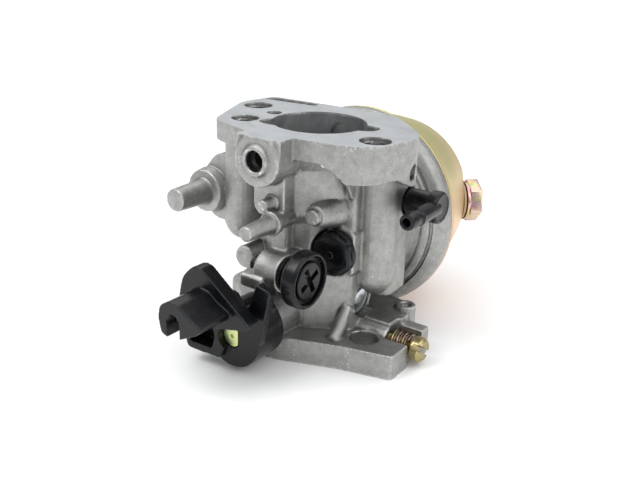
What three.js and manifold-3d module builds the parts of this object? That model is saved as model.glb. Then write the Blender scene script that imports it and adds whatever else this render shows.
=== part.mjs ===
// A float-bowl carburetor for a small single-cylinder engine, in millimetres.
// The throat runs along Z: the air-cleaner flange is on top and the engine flange stands on z = 0.
// The float bowl hangs along +Y, and the throttle lever is at the front, towards -Y.
import * as THREE from "three";
import { mergeVertices } from "three/addons/utils/BufferGeometryUtils.js";
import Module from "manifold-3d";

const wasm = await Module();
wasm.setup();

// ---- Driving dimensions -------------------------------------------------------------------------
const GAP = 0.3; // between pieces that touch
const RUNNING = 0.08; // radial clearance of a turning shaft
const SIDES = 24;

const HEIGHT = 53; // engine face to air-cleaner face
const STUD_SPACING = 42;
const STUD_TURN = -14.6; // degrees from X to the line through the studs
const STUD_HOLE = 3.5; // radius

const AIR_FLANGE = { thick: 4.8, corner: 2.6, endDeep: 8.5, postDeep: 6.1 };
const ENGINE_FLANGE = { thick: 6, radius: 18.2, endRadius: 6.6, pastStud: [10.1, -4.1] };

const THROAT = { air: 11, airX: 1.4, airY: 0.8, airWall: 13.4, venturi: 7.3, throttle: 9, wall: 10.4 };
const THROAT_Z = { airFloor: 37, venturiTop: 30, venturiLow: 22, throttleTop: 16 };

const THROTTLE = { z: 9.1, shaft: 2.5, flat: 1.7, end: 13, boss: 5.4, bossFront: -18.2, front: -28.5 };
// The throttle is shown part open: `open` degrees round from where its tang meets the stop screw.
const PLATE = { thick: 1, closedTilt: 8, open: 48, clearance: 0.35, screwPitch: 8 };
const CHOKE = { z: HEIGHT - 5.1, bore: 2.35, front: -20.6, boss: 6, ring: 3.4, ringProud: 0.7, end: 13 };

const BOWL = { z: 26.6, radius: 26.2, mouth: 24.7, wall: 1, bottom: 49.5, boltHole: 3.3 };
const LID = { rim: 26.2, rimFront: 21, rimBack: 24, step: 21.4, stepFront: 18.4 };
const POST = { radius: 4.8, bore: 2.7, end: 48.2, thread: 3.2, threadTop: 41 };

const FLOAT = { outer: 17, inner: 9, top: 27, bottom: 39, hingeX: -15, hingeY: 26.6, pin: 0.8 };
const FLOAT_ARM = { thick: 1.6, barrel: 2, halfWidth: 2.8, ear: 2.2, gapAngle: 35 };
const NEEDLE = { x: -9.5, radius: 1.5, top: 14.5, tail: 25 };

const LEVER = { hub: 7.5, back: -19.2, arm: 2.3, tang: 2.2, tangReach: 13.6, fit: 0.12 };
const IDLE_SCREW = {
  y: -19.2,
  z: 23.4,
  face: 14.6,
  head: 6.5,
  headLong: 3.8,
  collar: 4.2,
  seat: 8,
  shank: 2.1,
  tip: -1.6,
};
const JET = { x: 11.8, z: 25.4, front: -8, head: 5.3, headLong: 2.6, shank: 1.9, boss: 6.4, bossFront: -5 };
const MIXTURE = { y: 1.1, z: 4.1, head: 3, headFront: 33, headLong: 2.6, coil: 2.5, wire: 0.42, turns: 3.5 };
const ELBOW = {
  y: 10,
  z: 36,
  barrel: 3.2,
  disc: 3.8,
  discBack: 27.2,
  discFront: 30,
  barbX: 28.6,
  barbTip: -4,
};
const NIPPLE = { y: 13, z: 26, barb: 2.6, flats: 7, tip: -29 };
const WELCH = { y: 2.2, z: 11.9, radius: 4.4, back: 12.5, seatEnd: 16.8 };
const PLUG = { at: [6.8, 15.6], radius: 1.6, front: -10.1, back: -9.3, boss: 2.5 };
const DRAIN = {
  angle: 43, // degrees from X
  centre: 28.3,
  seat: 24.1,
  head: 5,
  headLong: 3.2,
  flange: 5.3,
  washer: 0.6,
  shank: 2.9,
  shankLong: 2.6,
  collar: 5,
  collarDeep: 2.8,
};
const BOLT = { head: 5, headLong: 5.5, washer: 7, washerThick: 1, shank: 2.9, tip: 42.2 };

const PLATE_SCREWS = [-PLATE.screwPitch / 2, PLATE.screwPitch / 2];

// ---- Materials ----------------------------------------------------------------------------------
const finish = (color, roughness, metalness) =>
  new THREE.MeshStandardMaterial({ color, roughness, metalness });
const CAST = finish(0xa9aaa8, 0.55, 0.85);
const BLACK_NYLON = finish(0x17191b, 0.5, 0);
const YELLOW_ZINC = finish(0xc4ab6a, 0.35, 0.9);
const BRASS = finish(0xb9984e, 0.35, 1);
const BRIGHT_STEEL = finish(0xc9cbcd, 0.25, 1);
const RUBBER = finish(0x1c1c1c, 0.8, 0);
const GASKET = finish(0x2e2f30, 0.85, 0);
const FLOAT_PLASTIC = finish(0x2a2926, 0.6, 0);

// ---- Solids from three.js geometry --------------------------------------------------------------
// Turns a closed geometry into a solid with its faces outwards.
function solid(geometry) {
  const plain = geometry.index ? geometry.toNonIndexed() : geometry.clone();
  for (const name of Object.keys(plain.attributes)) {
    if (name !== "position") plain.deleteAttribute(name);
  }
  const merged = mergeVertices(plain, 1e-4);
  const triangles = [];
  for (let i = 0; i < merged.index.count; i += 3) {
    const [a, b, c] = [0, 1, 2].map((k) => merged.index.getX(i + k));
    if (a !== b && b !== c && c !== a) triangles.push(a, b, c);
  }
  const made = manifold(merged.attributes.position.array, triangles);
  return made.volume() > 0 ? made : manifold(merged.attributes.position.array, triangles.reverse());
}

function manifold(vertProperties, triangles) {
  const triVerts = new Uint32Array(triangles);
  return new wasm.Manifold(new wasm.Mesh({ numProp: 3, vertProperties, triVerts }));
}

const join = (...solids) => solids.reduce((all, one) => all.add(one));
const cut = (from, ...tools) => tools.reduce((left, tool) => left.subtract(tool), from);
const radians = THREE.MathUtils.degToRad;

// Turns a geometry made along Z so that it runs along X or Y.
function along(axis, geometry) {
  if (axis === "x") geometry.rotateY(Math.PI / 2);
  if (axis === "y") geometry.rotateX(-Math.PI / 2);
  return geometry;
}

// A round bar along an axis between two coordinates, at a place in the plane across it.
function bar(axis, radius, from, to, [u, v], { endRadius = radius, sides = SIDES } = {}) {
  const [low, high] = from < to ? [radius, endRadius] : [endRadius, radius];
  const shape = new THREE.CylinderGeometry(high, low, Math.abs(to - from), sides);
  const middle = (from + to) / 2;
  if (axis === "x") shape.rotateZ(-Math.PI / 2).translate(middle, u, v);
  if (axis === "y") shape.translate(u, middle, v);
  if (axis === "z") shape.rotateX(Math.PI / 2).translate(u, v, middle);
  return solid(shape);
}

function block([x0, x1], [y0, y1], [z0, z1]) {
  const shape = new THREE.BoxGeometry(x1 - x0, y1 - y0, z1 - z0);
  return solid(shape.translate((x0 + x1) / 2, (y0 + y1) / 2, (z0 + z1) / 2));
}

function ball(radius, [x, y, z], sides = 20) {
  return solid(new THREE.SphereGeometry(radius, sides, sides / 2).translate(x, y, z));
}

// A profile of [radius, distance] points turned round an axis.
function turned(axis, points, [u, v] = [0, 0], sides = SIDES) {
  const profile = points.map(([r, d]) => new THREE.Vector2(r, d));
  const shape = new THREE.LatheGeometry(profile, sides);
  if (axis === "x") shape.rotateZ(-Math.PI / 2).translate(0, u, v);
  if (axis === "y") shape.translate(u, 0, v);
  if (axis === "z") shape.rotateX(Math.PI / 2).translate(u, v, 0);
  return solid(shape);
}

// A ring or a tube: bore and outer radius, then where it starts and ends along the axis.
function tube(axis, [bore, outer], [from, to], at, sides = SIDES) {
  return turned(axis, [[bore, from], [outer, from], [outer, to], [bore, to], [bore, from]], at, sides);
}

// An outline whose corners are rounded with the given radius.
function outline(points, corner = 0) {
  const shape = new THREE.Shape();
  points.forEach(([x, y], i) => {
    const here = new THREE.Vector2(x, y);
    const before = new THREE.Vector2(...points.at(i - 1));
    const after = new THREE.Vector2(...points[(i + 1) % points.length]);
    const reach = Math.min(corner, here.distanceTo(before) / 2, here.distanceTo(after) / 2);
    const start = here.clone().add(before.sub(here).setLength(reach));
    const end = here.clone().add(after.sub(here).setLength(reach));
    if (i === 0) shape.moveTo(start.x, start.y);
    else shape.lineTo(start.x, start.y);
    if (corner > 0) shape.quadraticCurveTo(x, y, end.x, end.y);
  });
  shape.closePath();
  return shape;
}

// A flat outline given a thickness. Across z it is drawn as [x, y], across y as [x, z], across x as [y, z].
function plate(across, shape, from, to, curveSegments = 4) {
  const depth = to - from;
  const made = new THREE.ExtrudeGeometry(shape, { depth, bevelEnabled: false, curveSegments });
  if (across === "z") made.translate(0, 0, from);
  if (across === "y") made.rotateX(Math.PI / 2).translate(0, to, 0);
  if (across === "x") made.rotateY(Math.PI / 2).rotateX(Math.PI / 2).translate(from, 0, 0);
  return solid(made);
}

function hexagon(acrossFlats) {
  const corner = acrossFlats / Math.sqrt(3);
  const points = [0, 1, 2, 3, 4, 5].map((i) => [
    corner * Math.cos(radians(60 * i)),
    corner * Math.sin(radians(60 * i)),
  ]);
  return outline(points);
}

function mesh(name, material, body) {
  const { vertProperties, triVerts } = body.getMesh();
  const geometry = new THREE.BufferGeometry()
    .setAttribute("position", new THREE.BufferAttribute(vertProperties, 3))
    .setIndex(new THREE.BufferAttribute(triVerts, 1));
  geometry.computeVertexNormals();
  const made = new THREE.Mesh(geometry, material);
  made.name = name;
  return made;
}

// ---- Places shared by several pieces ------------------------------------------------------------
const studAt = (side) => [
  (side * STUD_SPACING * Math.cos(radians(STUD_TURN))) / 2,
  (side * STUD_SPACING * Math.sin(radians(STUD_TURN))) / 2,
];
const nearStud = (side, x, y) => [studAt(side)[0] + x, studAt(side)[1] + y];
const RIGHT_STUD = studAt(1);
const LEFT_STUD = studAt(-1);
const SCREW_HOLE = [-13.7, -7.7]; // threaded hole beside the left stud
const BOWL_AXIS = [0, BOWL.z];
const SHAFT_AXIS = [0, THROTTLE.z];
const CHOKE_AXIS = [0, CHOKE.z];

// ---- Body casting -------------------------------------------------------------------------------
// The flange that the air cleaner bolts to. Its right-hand end is deeper and has a pocket through it.
function airFlange() {
  const under = HEIGHT - AIR_FLANGE.thick;
  const low = HEIGHT - AIR_FLANGE.endDeep;
  const edge = outline(
    [
      nearStud(-1, 1.9, -18.5),
      [-7.4, -16.8],
      [4.1, -15.8],
      nearStud(1, -3.5, -8.7),
      nearStud(1, 0.5, -7),
      nearStud(1, 3.7, -3.3),
      nearStud(1, 5.5, 5.1),
      nearStud(1, 5.7, 8.1),
      nearStud(1, 4.1, 12.3),
      [11, 19.4],
      [-9.8, 18],
      nearStud(-1, -4, 11.3),
      nearStud(-1, -5.9, 0.4),
    ],
    AIR_FLANGE.corner,
  );
  const top = under + 0.8;
  const x = RIGHT_STUD[0];
  const sweep = outline([
    [x - 8.3, top],
    [x - 8.3, low + 3.5],
    [x - 5.3, low + 2.5],
    [x - 3.7, low + 1.3],
    [x - 2.3, low],
    [x + 10, low],
    [x + 10, top],
  ]);
  const web = outline([[-3, top], [-3, low], [1, low - 2.1], [7.4, low - 3.7], [8.6, top]], 0.6);
  const pocket = [[1.1, -0.9], [1.1, 1.7], [3.1, 2.9], [5, 1.5], [5, -1.3]];
  const pocketEdge = outline(pocket.map(([y, z]) => [y, low + z]), 0.3);
  const below = plate("z", edge, low - 5, under + 1);
  return cut(
    join(
      plate("z", edge, under, HEIGHT),
      below.intersect(plate("y", sweep, -20, 2)),
      below.intersect(plate("x", web, x + 2.7, x + 6.7)),
      bar("z", 5.6, HEIGHT - AIR_FLANGE.postDeep, under + 1, LEFT_STUD),
    ),
    plate("x", pocketEdge, x + 1.7, x + 7.7),
  );
}

function engineFlange() {
  const { radius, endRadius, pastStud, thick } = ENGINE_FLANGE;
  const corner = nearStud(1, ...pastStud);
  const right = [
    [0, -radius],
    [9, -15.9],
    nearStud(1, -2, -7.1),
    corner,
    [corner[0], 7.8],
    [22, 9],
    [0, radius],
  ];
  const [x, y] = LEFT_STUD;
  const left = outline([[x - 2, y - 6.2], [0, -radius], [0, radius], [x + 1.5, y + 6.4]]);
  return join(
    bar("z", radius, 0, thick, [0, 0], { sides: 48 }),
    plate("z", outline(right, 0.7), 0, thick),
    bar("z", endRadius, 0, thick, [x, y]),
    plate("z", left, 0, thick),
  );
}

// The barrel round the throat, wider round the air horn, with flat walls on both sides of it.
function throatBarrel() {
  const { wall, airWall } = THROAT;
  const round = (from, to, low, high, at) => bar("z", low, from, to, at, { endRadius: high, sides: 40 });
  const horn = [1, 0.5];
  const foot = outline([[2.4, -10.4], [6, -9.8], [15.6, -4.4], [15.6, 2], [2.4, 2]], 0.5);
  const edge = [[-12, 0], [-10.6, -2.4], [-7.4, -6.6], [-5.4, -10], [-4, -10.8], [-4, 0]];
  const top = HEIGHT - AIR_FLANGE.thick + 0.8;
  const gusset = outline(edge.map(([y, drop]) => [y, top + drop]));
  return join(
    round(0, HEIGHT - 1, wall, wall, [0, 0]),
    round(32.4, 34.4, airWall - 1.2, airWall, horn),
    round(34.4, HEIGHT - 8, airWall, airWall, horn),
    round(HEIGHT - 8, HEIGHT - 4, airWall, airWall + 2.2, horn),
    round(ENGINE_FLANGE.thick - 1, 8.5, wall + 1.6, wall, [0, 0]),
    plate("z", foot, 0, 22),
    plate("z", outline([[4, -4.4], [15.6, -4.4], [15.6, 2], [4, 9]], 1), 0, HEIGHT - 2),
    plate("z", outline([[-4, -8], [-13, -5], [-13, 4], [0, 9]], 1), 17, HEIGHT - 2),
    plate("x", gusset, 14.2, 15.3),
  );
}

// Vertical columns under the two stud bosses, each with a rounded foot.
function columns() {
  const [x, y] = SCREW_HOLE;
  return join(
    bar("z", 4.7, 28, HEIGHT - 2, [x, y]),
    ball(4.7, [x, y, 28]),
    bar("z", 4.9, 18.6, HEIGHT - 4, [16.9, 3.2]),
    ball(4.9, [16.9, 3.2, 18.6]),
    plate("z", outline([[6, -1], [21.6, 2.4], [21, 12], [6, 16]], 2), 14, HEIGHT - 3),
  );
}

// The round cover that closes the float bowl, in concentric steps towards the throat.
function bowlCover() {
  const { rim, rimFront, rimBack, step, stepFront } = LID;
  const profile = [
    [0, 0],
    [12, 0],
    [15.5, 9],
    [18.2, 14],
    [19.2, stepFront - 1],
    [step, stepFront],
    [rim - 0.8, rimFront],
    [rim, rimFront + 0.9],
    [rim, rimBack],
    [0, rimBack],
  ];
  return turned("y", profile, BOWL_AXIS, 48);
}

// The post that carries the nozzle down into the bowl, and the two ears of the float hinge.
function bowlPost() {
  const { hingeX, hingeY } = FLOAT;
  const { halfWidth, ear } = FLOAT_ARM;
  const inner = halfWidth + GAP;
  const earAt = (z0, z1) =>
    join(
      block([hingeX - 2, hingeX + 2], [LID.rimBack - 1, hingeY], [z0, z1]),
      bar("z", 2, z0, z1, [hingeX, hingeY], { sides: 20 }),
    );
  return join(
    bar("y", POST.radius, LID.rimBack - 1, POST.end, BOWL_AXIS),
    earAt(BOWL.z - inner - ear, BOWL.z - inner),
    earAt(BOWL.z + inner, BOWL.z + inner + ear),
  );
}

// The choke shaft's boss with its raised ring, flush with the flange, and the pad that hangs below it.
function chokeBoss() {
  const { boss, front, ring, ringProud, z } = CHOKE;
  const peg = { x: 1.2, z: 37.8, front: -20, pad: -16.4 };
  const top = z - 1.9;
  const pad = outline([[-4, top], [-4, 36], [-2.4, 34.2], [3, 34.2], [4.6, 36], [4.6, top]], 1);
  return join(
    bar("y", boss, front, -6, CHOKE_AXIS),
    bar("y", ring, front - ringProud, front + 1, CHOKE_AXIS),
    block([-boss, boss], [front + 0.6, -6], [z, HEIGHT]),
    plate("y", pad, peg.pad, -7),
    bar("y", 1.35, peg.front, peg.pad + 1, [peg.x, peg.z], { sides: 16 }),
    bar("y", 4.6, 6, 15, CHOKE_AXIS),
  );
}

// The posts and stubs that springs and links hook on to.
function springPosts() {
  const stepped = { at: [3.2, 34], front: -28 };
  const stub = { at: [10, 35.3], front: -13.4 };
  const round = { at: [-10.3, 20.3], front: -12 };
  const wall = outline([[-12.6, 20], [-12.6, 32.5], [-5, 36], [-5, 17]], 1);
  return join(
    bar("y", 1.65, stepped.front, stepped.front + 9, stepped.at, { endRadius: 2, sides: 20 }),
    bar("y", 2.8, -19.6, -17.2, stepped.at, { endRadius: 2.5, sides: 20 }),
    bar("y", 2.05, -17.6, -6, stepped.at, { sides: 20 }),
    bar("y", 1.8, stub.front, -6, stub.at, { sides: 20 }),
    bar("y", 2.2, stub.front + 1.4, -5, stub.at, { endRadius: 4.4, sides: 20 }),
    bar("y", 2.8, round.front, -2, round.at, { sides: 20 }),
    plate("x", wall, -1.6, 2.6),
  );
}

// The bosses of the throttle shaft, the pilot jet and the pressed plug.
function boreBosses() {
  const wallEnd = block([0, 16.1], [-12, 4], [15, 36]);
  return join(
    bar("y", JET.boss, JET.bossFront, 2, [JET.x, JET.z]).intersect(wallEnd),
    bar("y", PLUG.boss, PLUG.front - 0.3, -6, PLUG.at, { sides: 20 }),
    bar("y", THROTTLE.boss, THROTTLE.bossFront, -6, SHAFT_AXIS),
    bar("y", 4.6, 6, 15, SHAFT_AXIS),
  );
}

// The plate with the tapered pivot pin at the far left.
function pivotPin() {
  const pin = { x: -23.6, z: 34, front: -21.4 };
  const ear = outline(
    [
      [-14, 43],
      [-22, 43.4],
      [-25, 40],
      [-27.6, 35],
      [-26.4, 30],
      [-23, 26.6],
      [-14, 26.6],
    ],
    2,
  );
  return join(
    plate("y", ear, -8.4, -5.6),
    bar("y", 2.75, pin.front, -10, [pin.x, pin.z], { endRadius: 3.2, sides: 28 }),
    bar("y", 5.2, -11.4, -8, [pin.x, pin.z], { endRadius: 5.6 }),
    plate("y", outline([[-16, 30.5], [-19.4, 29.6], [-21, 26], [-19, 23.4], [-12, 23.4]], 1), -7.4, -4),
  );
}

// The arm that the idle stop screw is threaded through.
function stopLug() {
  const { y, z, seat } = IDLE_SCREW;
  const side = outline(
    [
      [-24.4, 19.8],
      [-24.4, 22.8],
      [-13, 25.4],
      [-6, 25.4],
      [-6, 14],
      [-11, 14],
      [-16, 19],
    ],
    0.8,
  );
  return join(plate("x", side, -1.2, 4.8), bar("x", 4.4, 1.8, seat, [y, z]));
}

// Everything that stands on the engine flange on the right: the slab, the post, the prong and the strut.
function flangeDetails() {
  const strut = new THREE.CylinderGeometry(1.9, 1.6, 8.6, 16).rotateX(radians(45));
  const slab = outline([[12, 0.2], [24.6, 0.2], [24.6, 8], [20, 14], [6, 17]], 0.8);
  const prong = [nearStud(1, ...ENGINE_FLANGE.pastStud)[0], ENGINE_FLANGE.thick + 1];
  const post = [22.2, 10.6];
  return join(
    plate("z", slab, 1, 8.4),
    cut(bar("z", 2.5, 1, 9.4, post), bar("z", 1.3, 7, 10, post, { sides: 16 })),
    bar("x", 3.4, 14, 24.2, [MIXTURE.y, MIXTURE.z]),
    block([23, prong[0]], [4.5, 7.8], [2, prong[1]]),
    solid(strut.translate(14.9, -7, 8.6)),
  );
}

// The nipple boss, the elbow boss and the needle well on the bowl cover.
function sideBosses() {
  return join(
    bar("x", 5, -21, -8, [NIPPLE.y, NIPPLE.z]),
    bar("x", 4.8, 8, 21.4, [ELBOW.y, ELBOW.z]),
    bar("x", WELCH.radius + 1.2, 8, WELCH.back + 1.6, [WELCH.y, WELCH.z]),
  );
}

function throatCut() {
  const { air, airX, airY, venturi, throttle } = THROAT;
  const { airFloor, venturiTop, venturiLow, throttleTop } = THROAT_Z;
  const bore = [
    [0, -1],
    [throttle, -1],
    [throttle, throttleTop],
    [venturi + 0.6, venturiLow - 2.4],
    [venturi, venturiLow],
    [venturi, venturiTop - 2],
    [venturi + 0.8, venturiTop],
    [air - 2.4, airFloor + 0.4],
    [0, airFloor + 0.4],
  ];
  const lobes = outline([[-9.9, -8], [-6, -9.2], [15.5, 1.6], [15.5, 5.4], [8, 6], [-9.6, -4.4]], 1.6);
  return join(
    turned("z", bore, [0, 0], 48),
    bar("z", air, airFloor, HEIGHT + 1, [airX, airY], { sides: 48 }),
    plate("z", lobes, airFloor + 2, HEIGHT + 1),
  );
}

function holes() {
  const through = (at, radius) => bar("z", radius, -1, HEIGHT + 1, at);
  const trough = outline([[-24.4, 12.6], [-9.6, 14.6], [-10.4, 16.9], [-23.6, 15.6]], 0.8);
  const notch = outline([[7.2, 21], [9, 18], [12, 21]]);
  const pocket = { from: 23.9, low: -2.2, high: 4.4 };
  const { hingeX, hingeY, pin } = FLOAT;
  const end = 40;
  return join(
    through(RIGHT_STUD, STUD_HOLE),
    through(LEFT_STUD, STUD_HOLE),
    bar("z", 3.2, HEIGHT - 12, HEIGHT + 1, SCREW_HOLE),
    bar("z", 1.8, HEIGHT - 3, HEIGHT + 1, [-12.3, 1.5], { sides: 16 }),
    plate("z", trough, HEIGHT - 3.4, HEIGHT + 1),
    plate("z", notch, HEIGHT - 6, HEIGHT + 1),
    bar("y", CHOKE.bore, CHOKE.front - 2, CHOKE.end, CHOKE_AXIS),
    bar("y", THROTTLE.shaft + RUNNING, THROTTLE.bossFront - 1, THROTTLE.end + 0.5, SHAFT_AXIS),
    // slot round the mixture screw and the bore for its shank
    block([pocket.from, end], [pocket.low, pocket.high], [-1, 20]),
    bar("x", 1.7, 8, pocket.from + 1, [MIXTURE.y, MIXTURE.z], { sides: 24 }),
    // the nozzle's bore and the thread of the bowl bolt
    bar("y", POST.bore, 2, POST.threadTop + 1, BOWL_AXIS),
    bar("y", POST.thread, POST.threadTop, POST.end + 1, BOWL_AXIS),
    // fuel way: needle seat well and inlet
    bar("y", NEEDLE.radius + 1.5 + GAP, 14, LID.rimBack + 1, [NEEDLE.x, BOWL.z], { sides: 24 }),
    bar("x", 3 + GAP, -22, -12, [NIPPLE.y, NIPPLE.z], { sides: 24 }),
    bar("x", 1.5, -13, NEEDLE.x, [NIPPLE.y, NIPPLE.z], { sides: 16 }),
    bar("y", 1.5, NIPPLE.y, 15, [NEEDLE.x, BOWL.z], { sides: 16 }),
    // pilot jet, vent elbow, stop screw and welch plug seats
    bar("y", JET.shank + 0.5, JET.bossFront - 1, 1.4, [JET.x, JET.z]),
    bar("y", JET.head + GAP, JET.front - 4, JET.bossFront, [JET.x, JET.z]),
    bar("x", ELBOW.barrel + GAP, 16, 23, [ELBOW.y, ELBOW.z]),
    bar("x", IDLE_SCREW.shank + RUNNING, -3, IDLE_SCREW.seat + 1, [IDLE_SCREW.y, IDLE_SCREW.z]),
    bar("x", WELCH.radius + GAP, WELCH.back - GAP, WELCH.seatEnd, [WELCH.y, WELCH.z]),
    bar("z", pin + 0.05, BOWL.z - 6, BOWL.z + 6, [hingeX, hingeY], { sides: 16 }),
    bar("y", PLUG.radius + GAP, PLUG.front - 2, PLUG.back + GAP, PLUG.at, { sides: 20 }),
  );
}

function bodyCasting() {
  const outside = join(
    airFlange(),
    engineFlange(),
    throatBarrel(),
    columns(),
    bowlCover(),
    chokeBoss(),
    springPosts(),
    boreBosses(),
    pivotPin(),
    stopLug(),
    flangeDetails(),
    sideBosses(),
    bowlPost(),
  );
  const studWay = (deep, at) => bar("z", STUD_HOLE + 0.7, ENGINE_FLANGE.thick, HEIGHT - deep, at);
  const rightStudWay = studWay(AIR_FLANGE.endDeep, RIGHT_STUD);
  const leftStudWay = studWay(AIR_FLANGE.postDeep, LEFT_STUD);
  const above = block([-40, 40], [-40, 60], [HEIGHT, HEIGHT + 20]);
  const below = block([-40, 40], [-40, 60], [-20, 0]);
  return cut(outside, rightStudWay, leftStudWay, above, below, throatCut(), holes());
}

// ---- Throttle -----------------------------------------------------------------------------------
// The shaft is cut to a D at the lever and has a flat for the throttle plate across the throat.
function throttleShaft() {
  const { shaft, flat, front, end, z } = THROTTLE;
  const flatHalf = THROAT.throttle - PLATE.clearance + GAP;
  const seatLow = z - PLATE.thick / 2 - GAP / 2;
  const body = bar("y", shaft, front, end, SHAFT_AXIS);
  const lever = block([flat, shaft + 1], [front - 1, LEVER.back + GAP], [z - 5, z + 5]);
  const dimple = bar("y", 0.4, front - 1, front + 0.6, SHAFT_AXIS, { sides: 12 });
  const seat = block([-shaft - 1, shaft + 1], [-flatHalf, flatHalf], [seatLow, z + 5]);
  return cut(body, lever, dimple, tilted(join(seat, ...plateTaps())));
}

// The clearance holes of the two plate screws, before they are turned with the plate.
function plateTaps() {
  return PLATE_SCREWS.map((y) => bar("z", 1.1, -5, 20, [0, y], { sides: 16 }));
}

// Turns a piece of the throttle about the shaft, from flat across the throat to the angle shown.
function tilted(piece) {
  const angle = -(PLATE.closedTilt + PLATE.open);
  return piece.translate([0, 0, -THROTTLE.z]).rotate([0, angle, 0]).translate([0, 0, THROTTLE.z]);
}

// The disc that closes the throat.
function throttlePlate() {
  const radius = THROAT.throttle - PLATE.clearance;
  const low = THROTTLE.z - PLATE.thick / 2;
  const disc = bar("z", radius, low, low + PLATE.thick, [0, 0], { sides: 36 });
  return tilted(cut(disc, ...plateTaps()));
}

function plateScrew(y) {
  const face = THROTTLE.z + PLATE.thick / 2 + GAP;
  const head = bar("z", 1.9, face, face + 1, [0, y], { sides: 20 });
  const shank = bar("z", 0.8, THROTTLE.z - 1.6, face + 0.5, [0, y], { sides: 16 });
  const slot = block([-2, 2], [y - 0.25, y + 0.25], [face + 0.5, face + 2]);
  return tilted(cut(join(head, shank), slot));
}

// The black lever: hub, stop arm, ribbed web, tang for the stop screw and the governor hook.
function throttleLever() {
  const { hub, back, arm, fit } = LEVER;
  const { front, shaft, flat, z } = THROTTLE;
  const stopArm = [[-1, 12], [4.4, 16.6], [6.8, 23.7], [10.7, 22.6], [7.6, 9], [2, 6]];
  const gusset = [[0, 14], [3.4, 17.2], [6.4, 15.8], [7.5, 9], [2, 6]];
  const web = [[-12.4, 4.4], [-11.6, 3.2], [-2, 3.6], [2, 14], [-1, 18.6], [-9, 18.6], [-12.8, 12]];
  const pocket = [[-11.2, 5], [-4.6, 5.2], [-3.6, 8.6], [-4.6, 11.4], [-11.2, 10.8]];
  const whole = join(
    bar("y", hub, front, back, [0, z], { sides: 40 }),
    plate("y", outline(stopArm, 0.6), front, front + arm),
    plate("y", outline(gusset, 0.8), front, back - 1.5),
    plate("y", outline(web, 0.8), -30.2, -25),
    leverFin(),
    leverTang(),
  );
  const bore = cut(
    bar("y", shaft + fit, -50, back + 1, [0, z]),
    block([flat + fit, shaft + 1], [-51, back + 2], [z - 5, z + 5]),
  );
  const clearOfFin = block([-5, 5], [-50, -30.2], [z - 5, z + 5]);
  return cut(whole, cut(bore, clearOfFin), plate("y", outline(pocket, 0.6), -31, -26.2));
}

// The fin in front of the hub, and the half barrel with the slot that the governor rod hooks into.
function leverFin() {
  const fin = [
    [-11.2, 16.5],
    [-10.4, 20.6],
    [-9.6, 23],
    [-6.6, 26],
    [-4.2, 26],
    [9, 16.2],
    [8.6, 15],
    [0, 13],
    [-9, 13],
  ];
  const hook = [
    [-8, 17.2],
    [-7.4, 20],
    [-4.8, 21.6],
    [-1.8, 21.2],
    [0.2, 19.6],
    [4.2, 17.8],
    [3.4, 16.2],
    [-2, 13.4],
    [-4, 12.6],
    [-7.2, 13.6],
  ];
  const slot = [[-5.2, 11], [-5.6, 17], [-4.4, 18.8], [-2.8, 18.6], [-1.8, 17], [-1.8, 11]];
  return cut(
    join(plate("y", outline(fin, 1), -33.6, -30), plate("y", outline(hook, 0.9), -43, -33)),
    plate("y", outline(slot, 0.6), -44, -34.4),
  );
}

// The tang behind the hub. Turned back by the open angle, its leading edge meets the stop screw's tip.
function leverTang() {
  const { back, tang, tangReach } = LEVER;
  const edge = IDLE_SCREW.tip - GAP;
  const shut = outline(
    [
      [edge, tangReach],
      [edge - 2.6, tangReach - 0.4],
      [edge - 4.6, 3],
      [edge + 1, 0],
      [edge, 5],
    ],
    0.3,
  );
  return plate("y", shut, back - tang, back)
    .rotate([0, -PLATE.open, 0])
    .translate([0, 0, THROTTLE.z]);
}

// A soft ring between the lever and the shaft boss.
function shaftSeal() {
  const { shaft, bossFront, z } = THROTTLE;
  return tube("y", [shaft + RUNNING, 4], [LEVER.back + GAP, bossFront - GAP], [0, z], 24);
}

// ---- Screws and jets ----------------------------------------------------------------------------
const CROSS_TURN = 27; // degrees that the cross stands turned about X

// Two slots crossed at right angles, cut into a head that faces +X.
function crossSlots([y, z], face, depth, halfLength, halfWidth) {
  const deep = [face - depth, face + 1];
  const one = block(deep, [-halfLength, halfLength], [-halfWidth, halfWidth]);
  const two = block(deep, [-halfWidth, halfWidth], [-halfLength, halfLength]);
  return join(one, two).rotate([CROSS_TURN, 0, 0]).translate([0, y, z]);
}

function idleStopScrew() {
  const { y, z, face, head, headLong, collar, seat, shank, tip } = IDLE_SCREW;
  const back = face - headLong;
  const profile = [
    [0, tip],
    [shank - 0.6, tip],
    [shank, tip + 0.8],
    [shank, seat + GAP],
    [collar, seat + GAP],
    [collar, back - 1.2],
    [collar - 1, back - 1.2],
    [collar - 1, back],
    [head - 0.3, back],
    [head, back + 0.5],
    [head, face - 0.7],
    [head - 0.5, face],
    [head - 0.9, face],
    [head - 1, face - 1.3],
    [head - 2.2, face - 1.3],
    [head - 2.3, face - 0.4],
    [0, face - 0.4],
  ];
  return cut(turned("x", profile, [y, z], 32), crossSlots([y, z], face, 1.4, 3.6, 0.5));
}

function pilotJet() {
  const { x, z, front, head, headLong, shank } = JET;
  const back = front + headLong;
  const flats = plate("y", hexagon(2 * head - 0.9), front - 1, back - 1.2).translate([x, 0, z]);
  const cap = bar("y", head, front, back, [x, z]);
  const rim = bar("y", head + 1, front - 1, back - 1.2, [x, z]);
  return join(
    cut(cap, cut(rim, flats)),
    bar("y", shank, back - 0.5, 1, [x, z]),
    bar("y", 0.9, front - 0.5, front + 1, [x, z], { sides: 12 }),
  );
}

function pilotJetRing() {
  const { x, z, shank, bossFront } = JET;
  const ring = new THREE.TorusGeometry(shank + 0.2, 0.14, 6, 24);
  return solid(along("y", ring).translate(x, bossFront + 3, z));
}

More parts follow.
